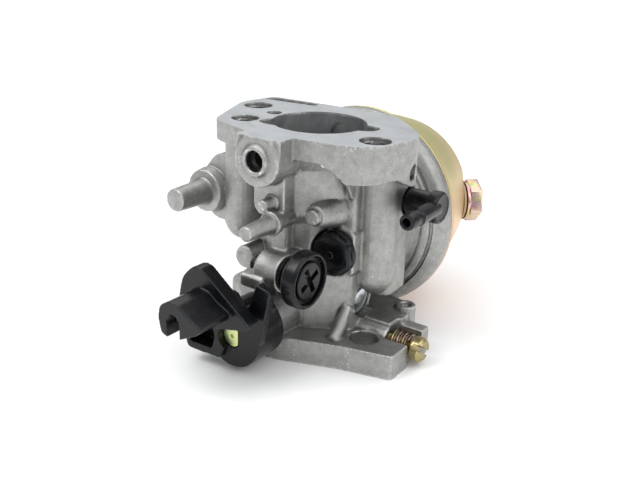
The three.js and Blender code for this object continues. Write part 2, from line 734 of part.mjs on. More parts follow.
function mixtureScrew() {
  const { y, z, head, headFront, headLong } = MIXTURE;
  const back = headFront - headLong;
  const profile = [
    [0, 9],
    [0.5, 9.4],
    [1.5, 13],
    [1.5, back],
    [head - 0.2, back],
    [head, back + 0.3],
    [head, headFront - 0.9],
    [head - 0.9, headFront],
    [0, headFront],
  ];
  const slot = block([headFront - 1.8, headFront + 1], [y - 4, y + 4], [z - 0.55, z + 0.55]);
  return cut(turned("x", profile, [y, z], 28), slot);
}

// A helix along X.
class Helix extends THREE.Curve {
  constructor(radius, turns, from, to, [y, z]) {
    super();
    Object.assign(this, { radius, turns, from, to, y, z });
  }

  getPoint(t, target = new THREE.Vector3()) {
    const angle = 2 * Math.PI * this.turns * t;
    const x = this.from + (this.to - this.from) * t;
    return target.set(x, this.y + this.radius * Math.cos(angle), this.z + this.radius * Math.sin(angle));
  }
}

function mixtureScrewSpring() {
  const { y, z, coil, wire, turns, headFront, headLong } = MIXTURE;
  const extrudePath = new Helix(coil, turns, 24.7, headFront - headLong - wire - GAP, [y, z]);
  const section = new THREE.Shape().absarc(0, 0, wire, 0, 2 * Math.PI);
  const settings = { extrudePath, steps: turns * 14, curveSegments: 3, bevelEnabled: false };
  return solid(new THREE.ExtrudeGeometry(section, settings));
}

// ---- Connections --------------------------------------------------------------------------------
function ventElbow() {
  const { y, z, barrel, disc, discBack, discFront, barbX, barbTip } = ELBOW;
  const barbProfile = [
    [0, barbTip],
    [1.35, barbTip],
    [1.6, barbTip + 0.5],
    [1.6, barbTip + 3.2],
    [1.75, barbTip + 3.4],
    [1.75, y - disc + 0.6],
    [0, y],
  ];
  const outside = join(
    bar("x", barrel, 17, discBack + 0.5, [y, z]),
    bar("x", disc, discBack, discFront - 0.4, [y, z], { sides: 32 }),
    bar("x", disc - 0.5, discFront - 0.6, discFront, [y, z], { sides: 32 }),
    turned("y", barbProfile, [barbX - 0.1, z], 24),
  );
  const bore = join(
    bar("y", 1, barbTip - 1, y, [barbX - 0.1, z], { sides: 20 }),
    bar("x", 1.8, 16, barbX, [y, z], { sides: 20 }),
  );
  return cut(outside, bore);
}

function fuelNipple() {
  const { y, z, barb, flats, tip } = NIPPLE;
  const profile = [
    [0, -14],
    [3, -14],
    [3, -21],
    [2.2, -21.6],
    [2.2, tip + 2.6],
    [barb, tip + 2.4],
    [2.1, tip],
    [0, tip],
  ];
  const collar = plate("x", hexagon(flats), -22.9, -21.3).translate([0, y, z]);
  const bore = bar("x", 1.3, -10, tip - 1, [y, z], { sides: 16 });
  return cut(join(turned("x", profile, [y, z]), collar), bore);
}

// The shiny domed disc that closes the casting passage below the right column.
function welchPlug() {
  const { y, z, radius, back } = WELCH;
  const profile = [
    [0, back],
    [radius, back],
    [radius, back + 0.8],
    [radius - 1.2, back + 1.5],
    [radius - 2.8, back + 1.9],
    [0, back + 2.1],
  ];
  return turned("x", profile, [y, z]);
}

// The small pressed plug in the throttle bore's outer wall.
function passagePlug() {
  const { at, radius, front, back } = PLUG;
  return bar("y", radius, front, back, at, { endRadius: radius - 0.2, sides: 20 });
}

// ---- Float bowl ---------------------------------------------------------------------------------
// A drawn steel shell, with a flat pressed in its corner for the drain bolt.
function floatBowl() {
  const { radius, mouth, wall, bottom, boltHole } = BOWL;
  const side = [
    [radius - 1, mouth + 1.4],
    [radius - 2.2, 30],
    [radius - 4.2, 38],
    [radius - 5.4, 42],
    [radius - 6.1, 44.6],
    [radius - 7.6, 47.2],
    [radius - 10, bottom - 0.4],
    [radius - 12.4, bottom],
  ];
  const lip = [[0, mouth], [radius, mouth], [radius, mouth + 0.8]];
  const outside = turned("y", [...lip, ...side, [0, bottom]], BOWL_AXIS, 48);
  const hollow = side.map(([r, d]) => [r - wall, d - (d > 46 ? wall : 0)]);
  const opening = [[0, mouth - 1], [radius - 2, mouth - 1]];
  const inside = turned("y", [...opening, ...hollow, [0, bottom - wall]], BOWL_AXIS, 48);
  const { shank, collar, collarDeep } = DRAIN;
  const shell = cut(
    cut(outside, drainPiece([[0, 0], [6.6, 0], [9, 4], [0, 4]])),
    cut(inside, drainPiece([[0, -wall], [7.2, -wall], [10.4, 4], [0, 4]])),
  );
  return cut(
    join(shell, drainPiece([[0, -collarDeep], [collar, -collarDeep], [collar, -wall / 2], [0, -wall / 2]])),
    drainPiece([[0, -8], [shank + GAP, -8], [shank + GAP, 3], [0, 3]]),
    bar("y", boltHole, bottom - 3, bottom + 1, BOWL_AXIS),
  );
}

// A turned piece on the slanted axis of the drain bolt: distance 0 is the seat on the bowl.
function drainPiece(profile, sides = SIDES) {
  return onDrainAxis(turned("y", profile, [0, 0], sides));
}

function onDrainAxis(piece) {
  const { angle, centre, seat } = DRAIN;
  const lean = radians(angle);
  const place = [seat * Math.cos(lean), centre + seat * Math.sin(lean), BOWL.z];
  return piece.rotate([0, 0, angle - 90]).translate(place);
}

function drainBolt() {
  const { head, headLong, flange, washer, shank, shankLong } = DRAIN;
  const face = washer + 2 * GAP;
  const top = face + 1 + headLong;
  const thread = drainPiece([
    [0, -shankLong],
    [shank - 0.3, -shankLong],
    [shank, GAP - shankLong],
    [shank, face + 0.5],
    [0, face + 0.5],
  ]);
  const collar = drainPiece([[0, face], [flange, face], [flange - 0.3, face + 1.2], [0, face + 1.2]]);
  const hex = onDrainAxis(plate("y", hexagon(2 * head), face + 1, top));
  const dish = drainPiece([[0, top - 0.5], [3, top - 0.5], [3.5, top + 1], [0, top + 1]]);
  return cut(join(thread, collar, hex), dish);
}

function drainWasher() {
  const { shank, flange, washer } = DRAIN;
  return onDrainAxis(tube("y", [shank + GAP, flange - 0.3], [GAP, GAP + washer], [0, 0]));
}

function bowlGasket() {
  const { radius, mouth } = BOWL;
  return tube("y", [radius - 2, radius - 0.7], [LID.rimBack + GAP / 2, mouth - GAP / 2], BOWL_AXIS, 48);
}

function bowlWasher() {
  const from = BOWL.bottom + GAP;
  return tube("y", [BOWL.boltHole, BOLT.washer], [from, from + BOLT.washerThick], BOWL_AXIS);
}

function bowlBolt() {
  const { head, headLong, washer, washerThick, shank, tip } = BOLT;
  const face = BOWL.bottom + washerThick + 2 * GAP;
  const profile = [
    [0, tip],
    [shank - 0.3, tip],
    [shank, tip + 0.8],
    [shank, face],
    [washer - 0.3, face],
    [washer - 0.7, face + 1.2],
    [0, face + 1.2],
  ];
  const hex = plate("y", hexagon(2 * head), face + 1, face + 1 + headLong).translate([0, 0, BOWL.z]);
  return join(turned("y", profile, BOWL_AXIS), hex);
}

function mainNozzle() {
  const profile = [
    [1.1, 1.4],
    [1.9, 1.4],
    [2.1, 12],
    [2.45, 12.6],
    [2.45, 35.6],
    [1.1, 35.6],
    [1.1, 1.4],
  ];
  return turned("y", profile, BOWL_AXIS, 24);
}

function mainJet() {
  const from = 35.6 + GAP;
  const to = POST.threadTop + 0.6;
  const tube = turned("y", [[0.5, from], [2.45, from], [2.45, to], [0.5, to], [0.5, from]], BOWL_AXIS, 24);
  return cut(tube, block([-4, 4], [to - 0.9, to + 1], [BOWL.z - 0.35, BOWL.z + 0.35]));
}

// ---- Float and needle ---------------------------------------------------------------------------
function floatBody() {
  const { outer, inner, top, bottom, hingeX, hingeY, pin } = FLOAT;
  const { thick, barrel, halfWidth, gapAngle } = FLOAT_ARM;
  const ring = [
    [inner, top],
    [outer, top],
    [outer, bottom - 1.5],
    [outer - 1.5, bottom],
    [inner, bottom],
    [inner, top],
  ];
  const reach = 30;
  const wedge = outline([
    [-3, 0],
    [-reach, reach * Math.tan(radians(gapAngle))],
    [-reach, -reach * Math.tan(radians(gapAngle))],
  ]);
  const donut = cut(
    turned("y", ring, [0, 0], 48),
    plate("y", wedge, top - 1, bottom + 1),
  ).translate([0, 0, BOWL.z]);
  const armTop = hingeY - 0.8;
  const arm = outline([[-12.4, -12], [-5.8, -9], [-5.8, 9], [-12.4, 12]]);
  const hinge = join(
    plate("y", arm, armTop, armTop + thick).translate([0, 0, BOWL.z]),
    block([hingeX, -12], [armTop, armTop + thick], [BOWL.z - halfWidth, BOWL.z + halfWidth]),
    bar("z", barrel, BOWL.z - halfWidth, BOWL.z + halfWidth, [hingeX, hingeY], { sides: 24 }),
  );
  const pinHole = bar("z", pin + RUNNING, BOWL.z - 9, BOWL.z + 9, [hingeX, hingeY], { sides: 20 });
  return cut(join(donut, hinge), pinHole);
}

function floatPin() {
  const { hingeX, hingeY, pin } = FLOAT;
  return bar("z", pin, BOWL.z - 5.6, BOWL.z + 5.6, [hingeX, hingeY], { sides: 20 });
}

// The brass seat pressed into the cover, with the bore that guides the needle.
function needleSeat() {
  const { x, radius } = NEEDLE;
  const bore = radius + RUNNING;
  const outer = radius + 1.5;
  const profile = [[bore, 16.4], [outer, 16.4], [outer, 23.2], [bore, 23.2], [bore, 16.4]];
  const floor = [[0.6, 15.4], [outer, 15.4], [outer, 17], [0.6, 17], [0.6, 15.4]];
  return join(turned("y", profile, [x, BOWL.z], 24), turned("y", floor, [x, BOWL.z], 24));
}

function floatNeedle() {
  const { x, radius, tail } = NEEDLE;
  const profile = [
    [0, 18],
    [0.9, 19],
    [radius, 19.8],
    [radius, 24],
    [0.7, 24.2],
    [0.7, tail],
    [0, tail],
  ];
  return turned("y", profile, [x, BOWL.z], 20);
}

// ---- The assembly -------------------------------------------------------------------------------
const carburetor = new THREE.Group();
carburetor.add(
  mesh("body_casting", CAST, bodyCasting()),
  mesh("throttle_shaft", YELLOW_ZINC, throttleShaft()),
  mesh("throttle_lever", BLACK_NYLON, throttleLever()),
  mesh("throttle_plate", BRASS, throttlePlate()),
  mesh("throttle_shaft_seal", RUBBER, shaftSeal()),
  mesh("idle_stop_screw", BLACK_NYLON, idleStopScrew()),
  mesh("pilot_jet", BLACK_NYLON, pilotJet()),
  mesh("pilot_jet_o_ring", RUBBER, pilotJetRing()),
  mesh("mixture_screw", BRASS, mixtureScrew()),
  mesh("mixture_screw_spring", YELLOW_ZINC, mixtureScrewSpring()),
  mesh("vent_elbow", BLACK_NYLON, ventElbow()),
  mesh("fuel_inlet_nipple", BRASS, fuelNipple()),
  mesh("welch_plug", BRIGHT_STEEL, welchPlug()),
  mesh("passage_plug", BRIGHT_STEEL, passagePlug()),
  mesh("float_bowl", YELLOW_ZINC, floatBowl()),
  mesh("bowl_gasket", GASKET, bowlGasket()),
  mesh("bowl_bolt", YELLOW_ZINC, bowlBolt()),
  mesh("bowl_bolt_washer", BRASS, bowlWasher()),
  mesh("drain_bolt", YELLOW_ZINC, drainBolt()),
  mesh("drain_bolt_washer", GASKET, drainWasher()),
  mesh("main_nozzle", BRASS, mainNozzle()),
  mesh("main_jet", BRASS, mainJet()),
  mesh("needle_seat", BRASS, needleSeat()),
  mesh("float_needle", BRASS, floatNeedle()),
  mesh("float", FLOAT_PLASTIC, floatBody()),
  mesh("float_pin", BRIGHT_STEEL, floatPin()),
);
PLATE_SCREWS.forEach((y, i) => {
  carburetor.add(mesh(`throttle_plate_screw_${i + 1}`, BRASS, plateScrew(y)));
});

export default carburetor;
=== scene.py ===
"""A float-bowl carburetor for a small engine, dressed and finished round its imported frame."""

import logging
import math
from collections.abc import Callable, Iterator, Sequence
from contextlib import contextmanager
from dataclasses import dataclass, field
from enum import Enum

import bmesh
import bpy
from mathutils import Matrix, Vector


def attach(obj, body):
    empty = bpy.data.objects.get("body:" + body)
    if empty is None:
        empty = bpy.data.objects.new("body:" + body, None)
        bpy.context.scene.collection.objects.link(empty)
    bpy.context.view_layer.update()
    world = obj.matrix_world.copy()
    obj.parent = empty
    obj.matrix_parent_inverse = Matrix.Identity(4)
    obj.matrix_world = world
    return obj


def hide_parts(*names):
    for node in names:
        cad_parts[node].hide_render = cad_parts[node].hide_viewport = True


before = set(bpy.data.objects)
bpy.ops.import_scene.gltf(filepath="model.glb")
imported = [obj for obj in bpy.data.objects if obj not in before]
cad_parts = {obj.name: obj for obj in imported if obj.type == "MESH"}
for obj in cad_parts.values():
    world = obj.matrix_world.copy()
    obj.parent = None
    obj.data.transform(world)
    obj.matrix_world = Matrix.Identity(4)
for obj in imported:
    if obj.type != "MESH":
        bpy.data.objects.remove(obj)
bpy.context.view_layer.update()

MM = 0.001
HEIGHT = 53.0  # engine face to air-cleaner face, in millimetres
BOWL_Z = 26.6  # height of the bowl's axis
CHOKE_Z = 47.9  # height of the choke shaft's axis
RAMP_FROM = 0.3  # noise values between which a finish runs through its colours
RAMP_SPAN = 0.4
CAST_SLOT = "die_cast_alloy"
LOG = logging.getLogger("carburetor")

Colour = tuple[float, float, float, float]
Point = tuple[float, float, float]
Span = tuple[float, float]
Profile = Sequence[Span]
Tree = bpy.types.NodeTree
Socket = bpy.types.NodeSocket
Piece = bpy.types.Object


class Axis(Enum):
    """The directions that turned pieces point in."""

    X = Vector((1, 0, 0))
    BACK_X = Vector((-1, 0, 0))
    Y = Vector((0, 1, 0))
    FRONT = Vector((0, -1, 0))
    Z = Vector((0, 0, 1))
    DRAIN = Vector((math.cos(math.radians(43)), math.sin(math.radians(43)), 0))


class Cut(Enum):
    """What a second solid does to the first."""

    JOIN = "UNION"
    CARVE = "DIFFERENCE"
    COMMON = "INTERSECT"


# ---- Materials ----------------------------------------------------------------------------------
def linear(code: str) -> Colour:
    """Turns an sRGB hex colour to linear.

    Args:
        code: The colour, as #RRGGBB.

    Returns:
        The linear colour with full opacity.
    """
    channels = [int(code[i : i + 2], 16) / 255 for i in (1, 3, 5)]
    flat = [c / 12.92 if c <= 0.04045 else ((c + 0.055) / 1.055) ** 2.4 for c in channels]
    return (flat[0], flat[1], flat[2], 1.0)


def per_mm(size: float) -> float:
    """The texture scale that draws a feature of this size in millimetres."""
    return 1.0 / (size * MM)


def add_node(
    tree: Tree,
    kind: str,
    inputs: dict[str | int, object] | None = None,
    stops: Sequence[tuple[float, object]] = (),
    **settings: object,
) -> bpy.types.Node:
    """Adds a shader node with its settings and links.

    Args:
        tree: The material's node tree.
        kind: The node's type without its ShaderNode prefix.
        inputs: Input name or index to a value, or to the output socket it is linked from.
        stops: Positions and colours for a colour ramp.
        **settings: The node's own properties.

    Returns:
        The new node.
    """
    made = tree.nodes.new("ShaderNode" + kind)
    for name, value in settings.items():
        setattr(made, name, value)
    for key, value in (inputs or {}).items():
        socket = made.inputs[key]
        if isinstance(value, Socket):
            tree.links.new(value, socket)
        else:
            socket.default_value = value
    for i, (place, colour) in enumerate(stops):
        ramp = made.color_ramp.elements
        stop = ramp[i] if i < len(ramp) else ramp.new(place)
        stop.position = place
        stop.color = linear(colour) if isinstance(colour, str) else (colour, colour, colour, 1.0)
    return made


@dataclass(frozen=True)
class Finish:
    """A surface: its colours, its gloss and the grain that its making left.

    Attributes:
        name: The material's name.
        colours: Hex colours that drift into one another over the surface.
        patch: Size of the drift in millimetres.
        grain: Size of the fine grain in millimetres.
        relief: Height of the grain in millimetres.
        roughness: Lowest and highest roughness.
        metallic: 1 for bare metal, 0 for plastic and rubber.
        edge_wear_and_highlight: Colour of edges, partly rubbed wear and partly painted highlight, or None.
        crease_shade: Colour of the painted shade that darkens corners and creases, or None.
        dents_and_glints: Share of the surface that carries small dents with painted bright glints.
        speckle: How far single grains darken, from 0 to 1.
        gloss: How strongly a surface that isn't metal mirrors what is round it.
        rise: Heights in millimetres between which the colours run in order, or None to drift.
    """

    name: str
    colours: tuple[str, ...]
    patch: float
    grain: float
    relief: float
    roughness: Span
    metallic: float = 1.0
    edge_wear_and_highlight: str | None = None
    crease_shade: str | None = None
    dents_and_glints: float = 0.0
    speckle: float = 0.0
    gloss: float = 0.5
    rise: Span | None = None

    def material(self) -> bpy.types.Material:
        """Builds the node tree, or returns the one already built."""
        if self.name in bpy.data.materials:
            return bpy.data.materials[self.name]
        made = bpy.data.materials.new(self.name)
        made.use_nodes = True
        tree = made.node_tree
        tree.nodes.clear()
        place = add_node(tree, "TexCoord").outputs["Object"]
        colour = self._colour(tree, place)
        tooth = {"Vector": place, "Scale": per_mm(self.grain), "Detail": 3.0, "Roughness": 0.6}
        height = add_node(tree, "TexNoise", tooth).outputs["Fac"]
        wear = {"Vector": place, "Scale": per_mm(self.patch * 0.6), "Detail": 4.0}
        broad = add_node(tree, "TexNoise", wear).outputs["Fac"]
        mixed = add_node(tree, "Math", {0: height, 1: broad}, operation="ADD").outputs[0]
        roughness = self._range(tree, mixed, (0.6, 1.4), self.roughness)
        if self.dents_and_glints:
            colour, height = self._dents_and_glints(tree, place, colour, height)
        bump = add_node(tree, "Bump", {"Height": height, "Strength": 1.0, "Distance": self.relief * MM})
        shader = add_node(
            tree,
            "BsdfPrincipled",
            {
                "Base Color": colour,
                "Metallic": self.metallic,
                "Specular IOR Level": self.gloss,
                "Roughness": roughness,
                "Normal": bump.outputs["Normal"],
            },
        )
        add_node(tree, "OutputMaterial", {"Surface": shader.outputs["BSDF"]})
        return made

    def _colour(self, tree: Tree, place: Socket) -> Socket:
        """Drifts between the finish's colours, then lightens the edges with wear and painted highlight and
        darkens the corners with painted shade.

        Args:
            tree: The material's node tree.
            place: The object coordinates.

        Returns:
            The socket that carries the colour.
        """
        cloud = {"Vector": place, "Scale": per_mm(self.patch), "Detail": 2.0, "Distortion": 0.4}
        drift = add_node(tree, "TexNoise", cloud).outputs["Fac"]
        if self.rise:
            drift = self._risen(tree, place, drift)
        share = RAMP_SPAN / max(1, len(self.colours) - 1)
        stops = [(RAMP_FROM + i * share, code) for i, code in enumerate(self.colours)]
        colour = add_node(tree, "ValToRGB", {"Fac": drift}, stops=stops).outputs["Color"]
        scraps = {"Vector": place, "Scale": per_mm(self.grain * 2.2), "Detail": 2.0}
        chips = add_node(tree, "TexNoise", scraps).outputs["Fac"]
        if self.speckle:
            dark = self._range(tree, chips, (0.5, 0.25), (0.0, self.speckle))
            colour = self._blend(tree, dark, colour, "#3f3e3b")
        bend = add_node(tree, "NewGeometry").outputs["Pointiness"]
        # Painted shade: corners and creases, found from the pointiness, are darkened towards a shade colour.
        if self.crease_shade:
            painted_shade = self._range(tree, bend, (0.5, 0.44), (0.0, 0.8))
            colour = self._blend(tree, painted_shade, colour, self.crease_shade)
        # Sharp outer edges are lightened, partly as rubbed wear and partly as painted highlight.
        if self.edge_wear_and_highlight:
            wear_and_highlight = self._range(tree, bend, (0.515, 0.6), (0.0, 1.0))
            broken = self._range(tree, chips, (0.4, 0.6), (0.25, 1.0))
            amount = add_node(tree, "Math", {0: wear_and_highlight, 1: broken}, operation="MULTIPLY").outputs[0]
            colour = self._blend(tree, amount, colour, self.edge_wear_and_highlight)
        return colour

    def _risen(self, tree: Tree, place: Socket, drift: Socket) -> Socket:
        """Makes the colours follow the height, with some of the drift left in them."""
        height = add_node(tree, "SeparateXYZ", {0: place}).outputs["Z"]
        low, high = self.rise
        level = self._range(tree, height, (low * MM, high * MM), (0.2, 0.6))
        mixed = {0: drift, 1: 0.3, 2: level}
        return add_node(tree, "Math", mixed, operation="MULTIPLY_ADD").outputs[0]

    @staticmethod
    def _range(
        tree: Tree,
        value: Socket,
        source: Span,
        target: Span,
    ) -> Socket:
        """Maps one range of a value to another, held at both ends."""
        ends = {"From Min": source[0], "From Max": source[1], "To Min": target[0], "To Max": target[1]}
        return add_node(tree, "MapRange", {"Value": value, **ends}).outputs["Result"]

    @staticmethod
    def _blend(tree: Tree, amount: Socket, colour: Socket, code: str) -> Socket:
        """Mixes a hex colour into the colour so far."""
        return add_node(tree, "Mix", {0: amount, 6: colour, 7: linear(code)}, data_type="RGBA").outputs[2]

    def _dents_and_glints(self, tree: Tree, place: Socket, colour: Socket, height: Socket) -> tuple[Socket, Socket]:
        """Adds the small dents of a handled casting and paints bright specks on them as glints.

        Args:
            tree: The material's node tree.
            place: The object coordinates.
            colour: The colour so far.
            height: The relief so far.

        Returns:
            The new colour and relief.
        """
        cells = add_node(tree, "TexVoronoi", {"Vector": place, "Scale": per_mm(0.9)})
        where = add_node(tree, "TexNoise", {"Vector": place, "Scale": per_mm(7.0), "Detail": 2.0})
        reach = self._range(tree, where.outputs["Fac"], (0.4, 0.7), (0.0, self.dents_and_glints))
        inside = add_node(tree, "Math", {0: cells.outputs["Distance"], 1: reach}, operation="LESS_THAN")
        # Painted glint: the dents are blended half way towards a pale colour.
        soft = add_node(tree, "Math", {0: inside.outputs[0], 1: 0.5}, operation="MULTIPLY")
        dent = add_node(tree, "Math", {0: inside.outputs[0], 1: -1.6, 2: height}, operation="MULTIPLY_ADD")
        return self._blend(tree, soft.outputs[0], colour, "#f2f4f4"), dent.outputs[0]


# Pressure die-cast zinc-aluminium, shaken out and blasted: a dull even silver whose edges shine
# where they have rubbed against others in the bin; that pale edge colour is partly wear and partly
# a painted highlight. Its corners carry painted shade and its small dents carry painted glints.
DIE_CAST = Finish(
    "pressure die-cast alloy",
    ("#9d9d9a", "#a7a7a4", "#b0b0ad"),
    patch=2.0,
    grain=0.24,
    relief=0.1,
    roughness=(0.3, 0.5),
    edge_wear_and_highlight="#f6f7f6",
    crease_shade="#403f3b",
    dents_and_glints=0.24,
    speckle=0.2,
)
# The same alloy faced on a mill: flatter and with a finer tooth than the cast skin, and paler,
# partly from the milling and partly as painted light where the top face catches the light from
# above. Its pale edge colour is partly wear and partly painted highlight.
MILLED = Finish(
    "milled alloy face",
    ("#cfd3d6", "#d6dadc"),
    patch=6.0,
    grain=0.12,
    relief=0.006,
    roughness=(0.3, 0.42),
    edge_wear_and_highlight="#eceeee",
)
# Bored alloy: bright, with soft dark reflections running down the walls, and painted shade
# darkening its corners.
BORED = Finish(
    "bored alloy wall",
    ("#8f9091", "#b4b5b6"),
    patch=5.0,
    grain=0.2,
    relief=0.01,
    roughness=(0.3, 0.44),
    metallic=0.8,
    crease_shade="#6f7072",
)
# Drilled alloy painted dark as the shade inside the holes: it keeps the stud holes darker than the
# face round them. Its pale edge colour is partly wear and partly painted highlight.
DRILLED = Finish(
    "drilled alloy with painted hole shade",
    ("#5a5a58", "#7c7c79"),
    patch=1.6,
    grain=0.2,
    relief=0.01,
    roughness=(0.24, 0.4),
    edge_wear_and_highlight="#c9cac9",
)
# The inside of a deep drilled bore, painted near-black as the shade that fills it: no light comes
# back out.
DEEP_BORE = Finish(
    "drilled bore painted black as shade",
    ("#0c0c0e", "#131315"),
    patch=3.0,
    grain=0.2,
    relief=0.01,
    roughness=(0.6, 0.8),
    metallic=0.0,
)
# Injection-moulded black nylon: half gloss with a faint blue cast, grey on its corners, partly as
# scuffs and partly as painted highlight.
NYLON = Finish(
    "injection-moulded black nylon",
    ("#07080a", "#0d0e11", "#0a0b0d"),
    patch=7.0,
    grain=0.22,
    relief=0.012,
    roughness=(0.16, 0.34),
    metallic=0.0,
    gloss=0.32,
    edge_wear_and_highlight="#3a3d42",
)
# Drawn steel with yellow zinc chromate: satin gold that drifts to green and rose. Its pale edge
# colour is partly wear and partly painted highlight.
BOWL_CHROMATE = Finish(
    "yellow zinc chromate on drawn steel",
    ("#dab39f", "#dcbd98", "#d2c08e", "#bab77a"),
    patch=14.0,
    grain=0.2,
    relief=0.006,
    roughness=(0.32, 0.46),
    edge_wear_and_highlight="#d8cda0",
    metallic=0.65,
    rise=(16.0, 58.0),
)
# The same plating on small turned steel: brighter, with rose and green close together. Its pale
# edge colour is partly wear and partly painted highlight.
SCREW_CHROMATE = Finish(
    "yellow zinc chromate on turned steel",
    ("#a8bd86", "#cdbb7e", "#cf9fb4", "#c9a48a"),
    patch=3.4,
    grain=0.15,
    relief=0.004,
    roughness=(0.18, 0.3),
    edge_wear_and_highlight="#ece3c4",
)
# The sawn end of the plated shaft: pale yellow-green. Its pale edge colour is partly wear and
# partly painted highlight.
SHAFT_CHROMATE = Finish(
    "pale zinc chromate on a sawn shaft",
    ("#b9cf8d", "#cfdc9c", "#d6d79a"),
    patch=3.0,
    grain=0.12,
    relief=0.01,
    roughness=(0.28, 0.42),
    edge_wear_and_highlight="#eef2cf",
)
# Turned brass, darkened to brown in its grooves by painted shade. Its pale edge colour is partly
# wear and partly painted highlight.
BRASS = Finish(
    "turned brass",
    ("#7c6d3f", "#8d7e4e", "#9a8b5a"),
    patch=3.0,
    grain=0.14,
    relief=0.008,
    roughness=(0.26, 0.4),
    edge_wear_and_highlight="#d6cba0",
    crease_shade="#3d3219",
)
# Pressed steel with its mill shine: a blue-white highlight.
BRIGHT_STEEL = Finish(
    "bright pressed steel",
    ("#c4cbd0", "#d3d8dc"),
    patch=4.0,
    grain=0.1,
    relief=0.003,
    roughness=(0.24, 0.34),
)
# Moulded rubber: a soft black without highlights.
RUBBER = Finish(
    "moulded nitrile rubber",
    ("#141414", "#1b1b1b"),
    patch=3.0,
    grain=0.2,
    relief=0.01,
    roughness=(0.55, 0.75),
    metallic=0.0,
)
# Pressed fibre sheet: a flat dark grey with short hairs.
FIBRE = Finish(
    "pressed fibre gasket",
    ("#26282a", "#34363a"),
    patch=2.0,
    grain=0.35,
    relief=0.03,
    roughness=(0.7, 0.9),
    metallic=0.0,
)
# Tan vulcanised fibre: a dull, pale crush washer.
TAN_FIBRE = Finish(
    "tan vulcanised fibre",
    ("#b59a78", "#c2a987"),
    patch=3.0,
    grain=0.16,
    relief=0.01,
    roughness=(0.5, 0.65),
    metallic=0.0,
)


# ---- Modelling ----------------------------------------------------------------------------------
def only(piece: Piece) -> None:
    """Makes one object the only selected one, and active."""
    bpy.ops.object.select_all(action="DESELECT")
    piece.select_set(True)
    bpy.context.view_layer.objects.active = piece


@contextmanager
def editing(piece: Piece, mode: str = "FACE") -> Iterator[bmesh.types.BMesh]:
    """Opens an object in edit mode with nothing selected.

    Args:
        piece: The object to work on.
        mode: VERT, EDGE or FACE.

    Yields:
        The mesh being edited.
    """
    only(piece)
    bpy.ops.object.mode_set(mode="EDIT")
    bpy.ops.mesh.select_mode(type=mode)
    bpy.ops.mesh.select_all(action="DESELECT")
    try:
        yield bmesh.from_edit_mesh(piece.data)
    finally:
        bpy.ops.object.mode_set(mode="OBJECT")


def pick(piece: Piece, parts: Sequence[object], test: Callable[[object], bool]) -> int:
    """Selects the faces, edges or corners that pass a test, and nothing else.

    Args:
        piece: The object in edit mode.
        parts: The faces, edges or corners to look through.
        test: Says whether one is wanted.

    Returns:
        How many were selected.
    """
    bpy.ops.mesh.select_all(action="DESELECT")
    chosen = [part for part in parts if test(part)]
    for part in chosen:
        part.select_set(True)
    bmesh.update_edit_mesh(piece.data)
    return len(chosen)


def finish_modifier(piece: Piece, kind: str, **settings: object) -> None:
    """Adds a modifier with its settings and applies it."""
    only(piece)
    made = piece.modifiers.new(kind.lower(), kind)
    for name, value in settings.items():
        setattr(made, name, value)
    bpy.ops.object.modifier_apply(modifier=made.name)


def combine(piece: Piece, other: Piece, how: Cut) -> Piece:
    """Joins a second solid to the first, or carves it out, and uses it up."""
    finish_modifier(piece, "BOOLEAN", operation=how.value, object=other, solver="EXACT")
    bpy.data.objects.remove(other)
    return piece


def place(piece: Piece, axis: Axis, at: Point, turn: float = 0.0) -> Piece:
    """Turns a piece made along Z to an axis, and moves it, with its place kept in its mesh.

    Args:
        piece: The object, made at the origin.
        axis: Where its Z ends up.
        at: Where its origin goes, in millimetres.
        turn: Degrees it is turned about its own axis first.

    Returns:
        The same object.
    """
    spin = Matrix.Rotation(math.radians(turn), 4, "Z")
    lean = Vector((0, 0, 1)).rotation_difference(axis.value).to_matrix().to_4x4()
    piece.matrix_world = Matrix.Translation(Vector(at) * MM) @ lean @ spin
    only(piece)
    bpy.ops.object.transform_apply(location=True, rotation=True, scale=True)
    return piece


def eased(profile: Profile, radius: float = 0.25, steps: int = 3) -> list[Span]:
    """Rounds the inner corners of an open profile.

    Args:
        profile: Points of radius and height, in millimetres.
        radius: How far from a corner the rounding starts.
        steps: Points in each rounded corner.

    Returns:
        The longer profile.
    """
    points = [Vector(p) for p in profile]
    made = [points[0]]
    for before, here, after in zip(points, points[1:], points[2:]):
        reach = min(radius, (here - before).length / 2.2, (after - here).length / 2.2)
        start = here + (before - here).normalized() * reach
        end = here + (after - here).normalized() * reach
        for i in range(steps + 1):
            t = i / steps
            made.append(start.lerp(here, t).lerp(here.lerp(end, t), t))
    made.append(points[-1])
    return [(p.x, p.y) for p in made]


def spun(name: str, profile: Profile, steps: int = 64) -> Piece:
    """Draws a profile by extruding a corner from point to point, and spins it round Z.

    Args:
        name: The piece's name.
        profile: Points of radius and height in millimetres, which start and end on the axis or meet.
        steps: Sides of the turned shape.

    Returns:
        The closed solid.
    """
    bpy.ops.mesh.primitive_plane_add(size=MM, location=(0, 0, 0))
    piece = bpy.context.object
    piece.name = name
    points = [Vector((r, 0, h)) * MM for r, h in profile]
    with editing(piece, "VERT"):
        bpy.ops.mesh.select_all(action="SELECT")
        bpy.ops.mesh.merge(type="CENTER")
        bpy.ops.transform.translate(value=points[0])
        for before, here in zip(points, points[1:]):
            bpy.ops.mesh.extrude_region_move(TRANSFORM_OT_translate={"value": here - before})
        bpy.ops.mesh.select_all(action="SELECT")
        bpy.ops.mesh.spin(steps=steps, angle=2 * math.pi, center=(0, 0, 0), axis=(0, 0, 1))
        bpy.ops.mesh.select_all(action="SELECT")
        bpy.ops.mesh.remove_doubles(threshold=MM * 0.002)
        bpy.ops.mesh.normals_make_consistent(inside=False)
    return piece


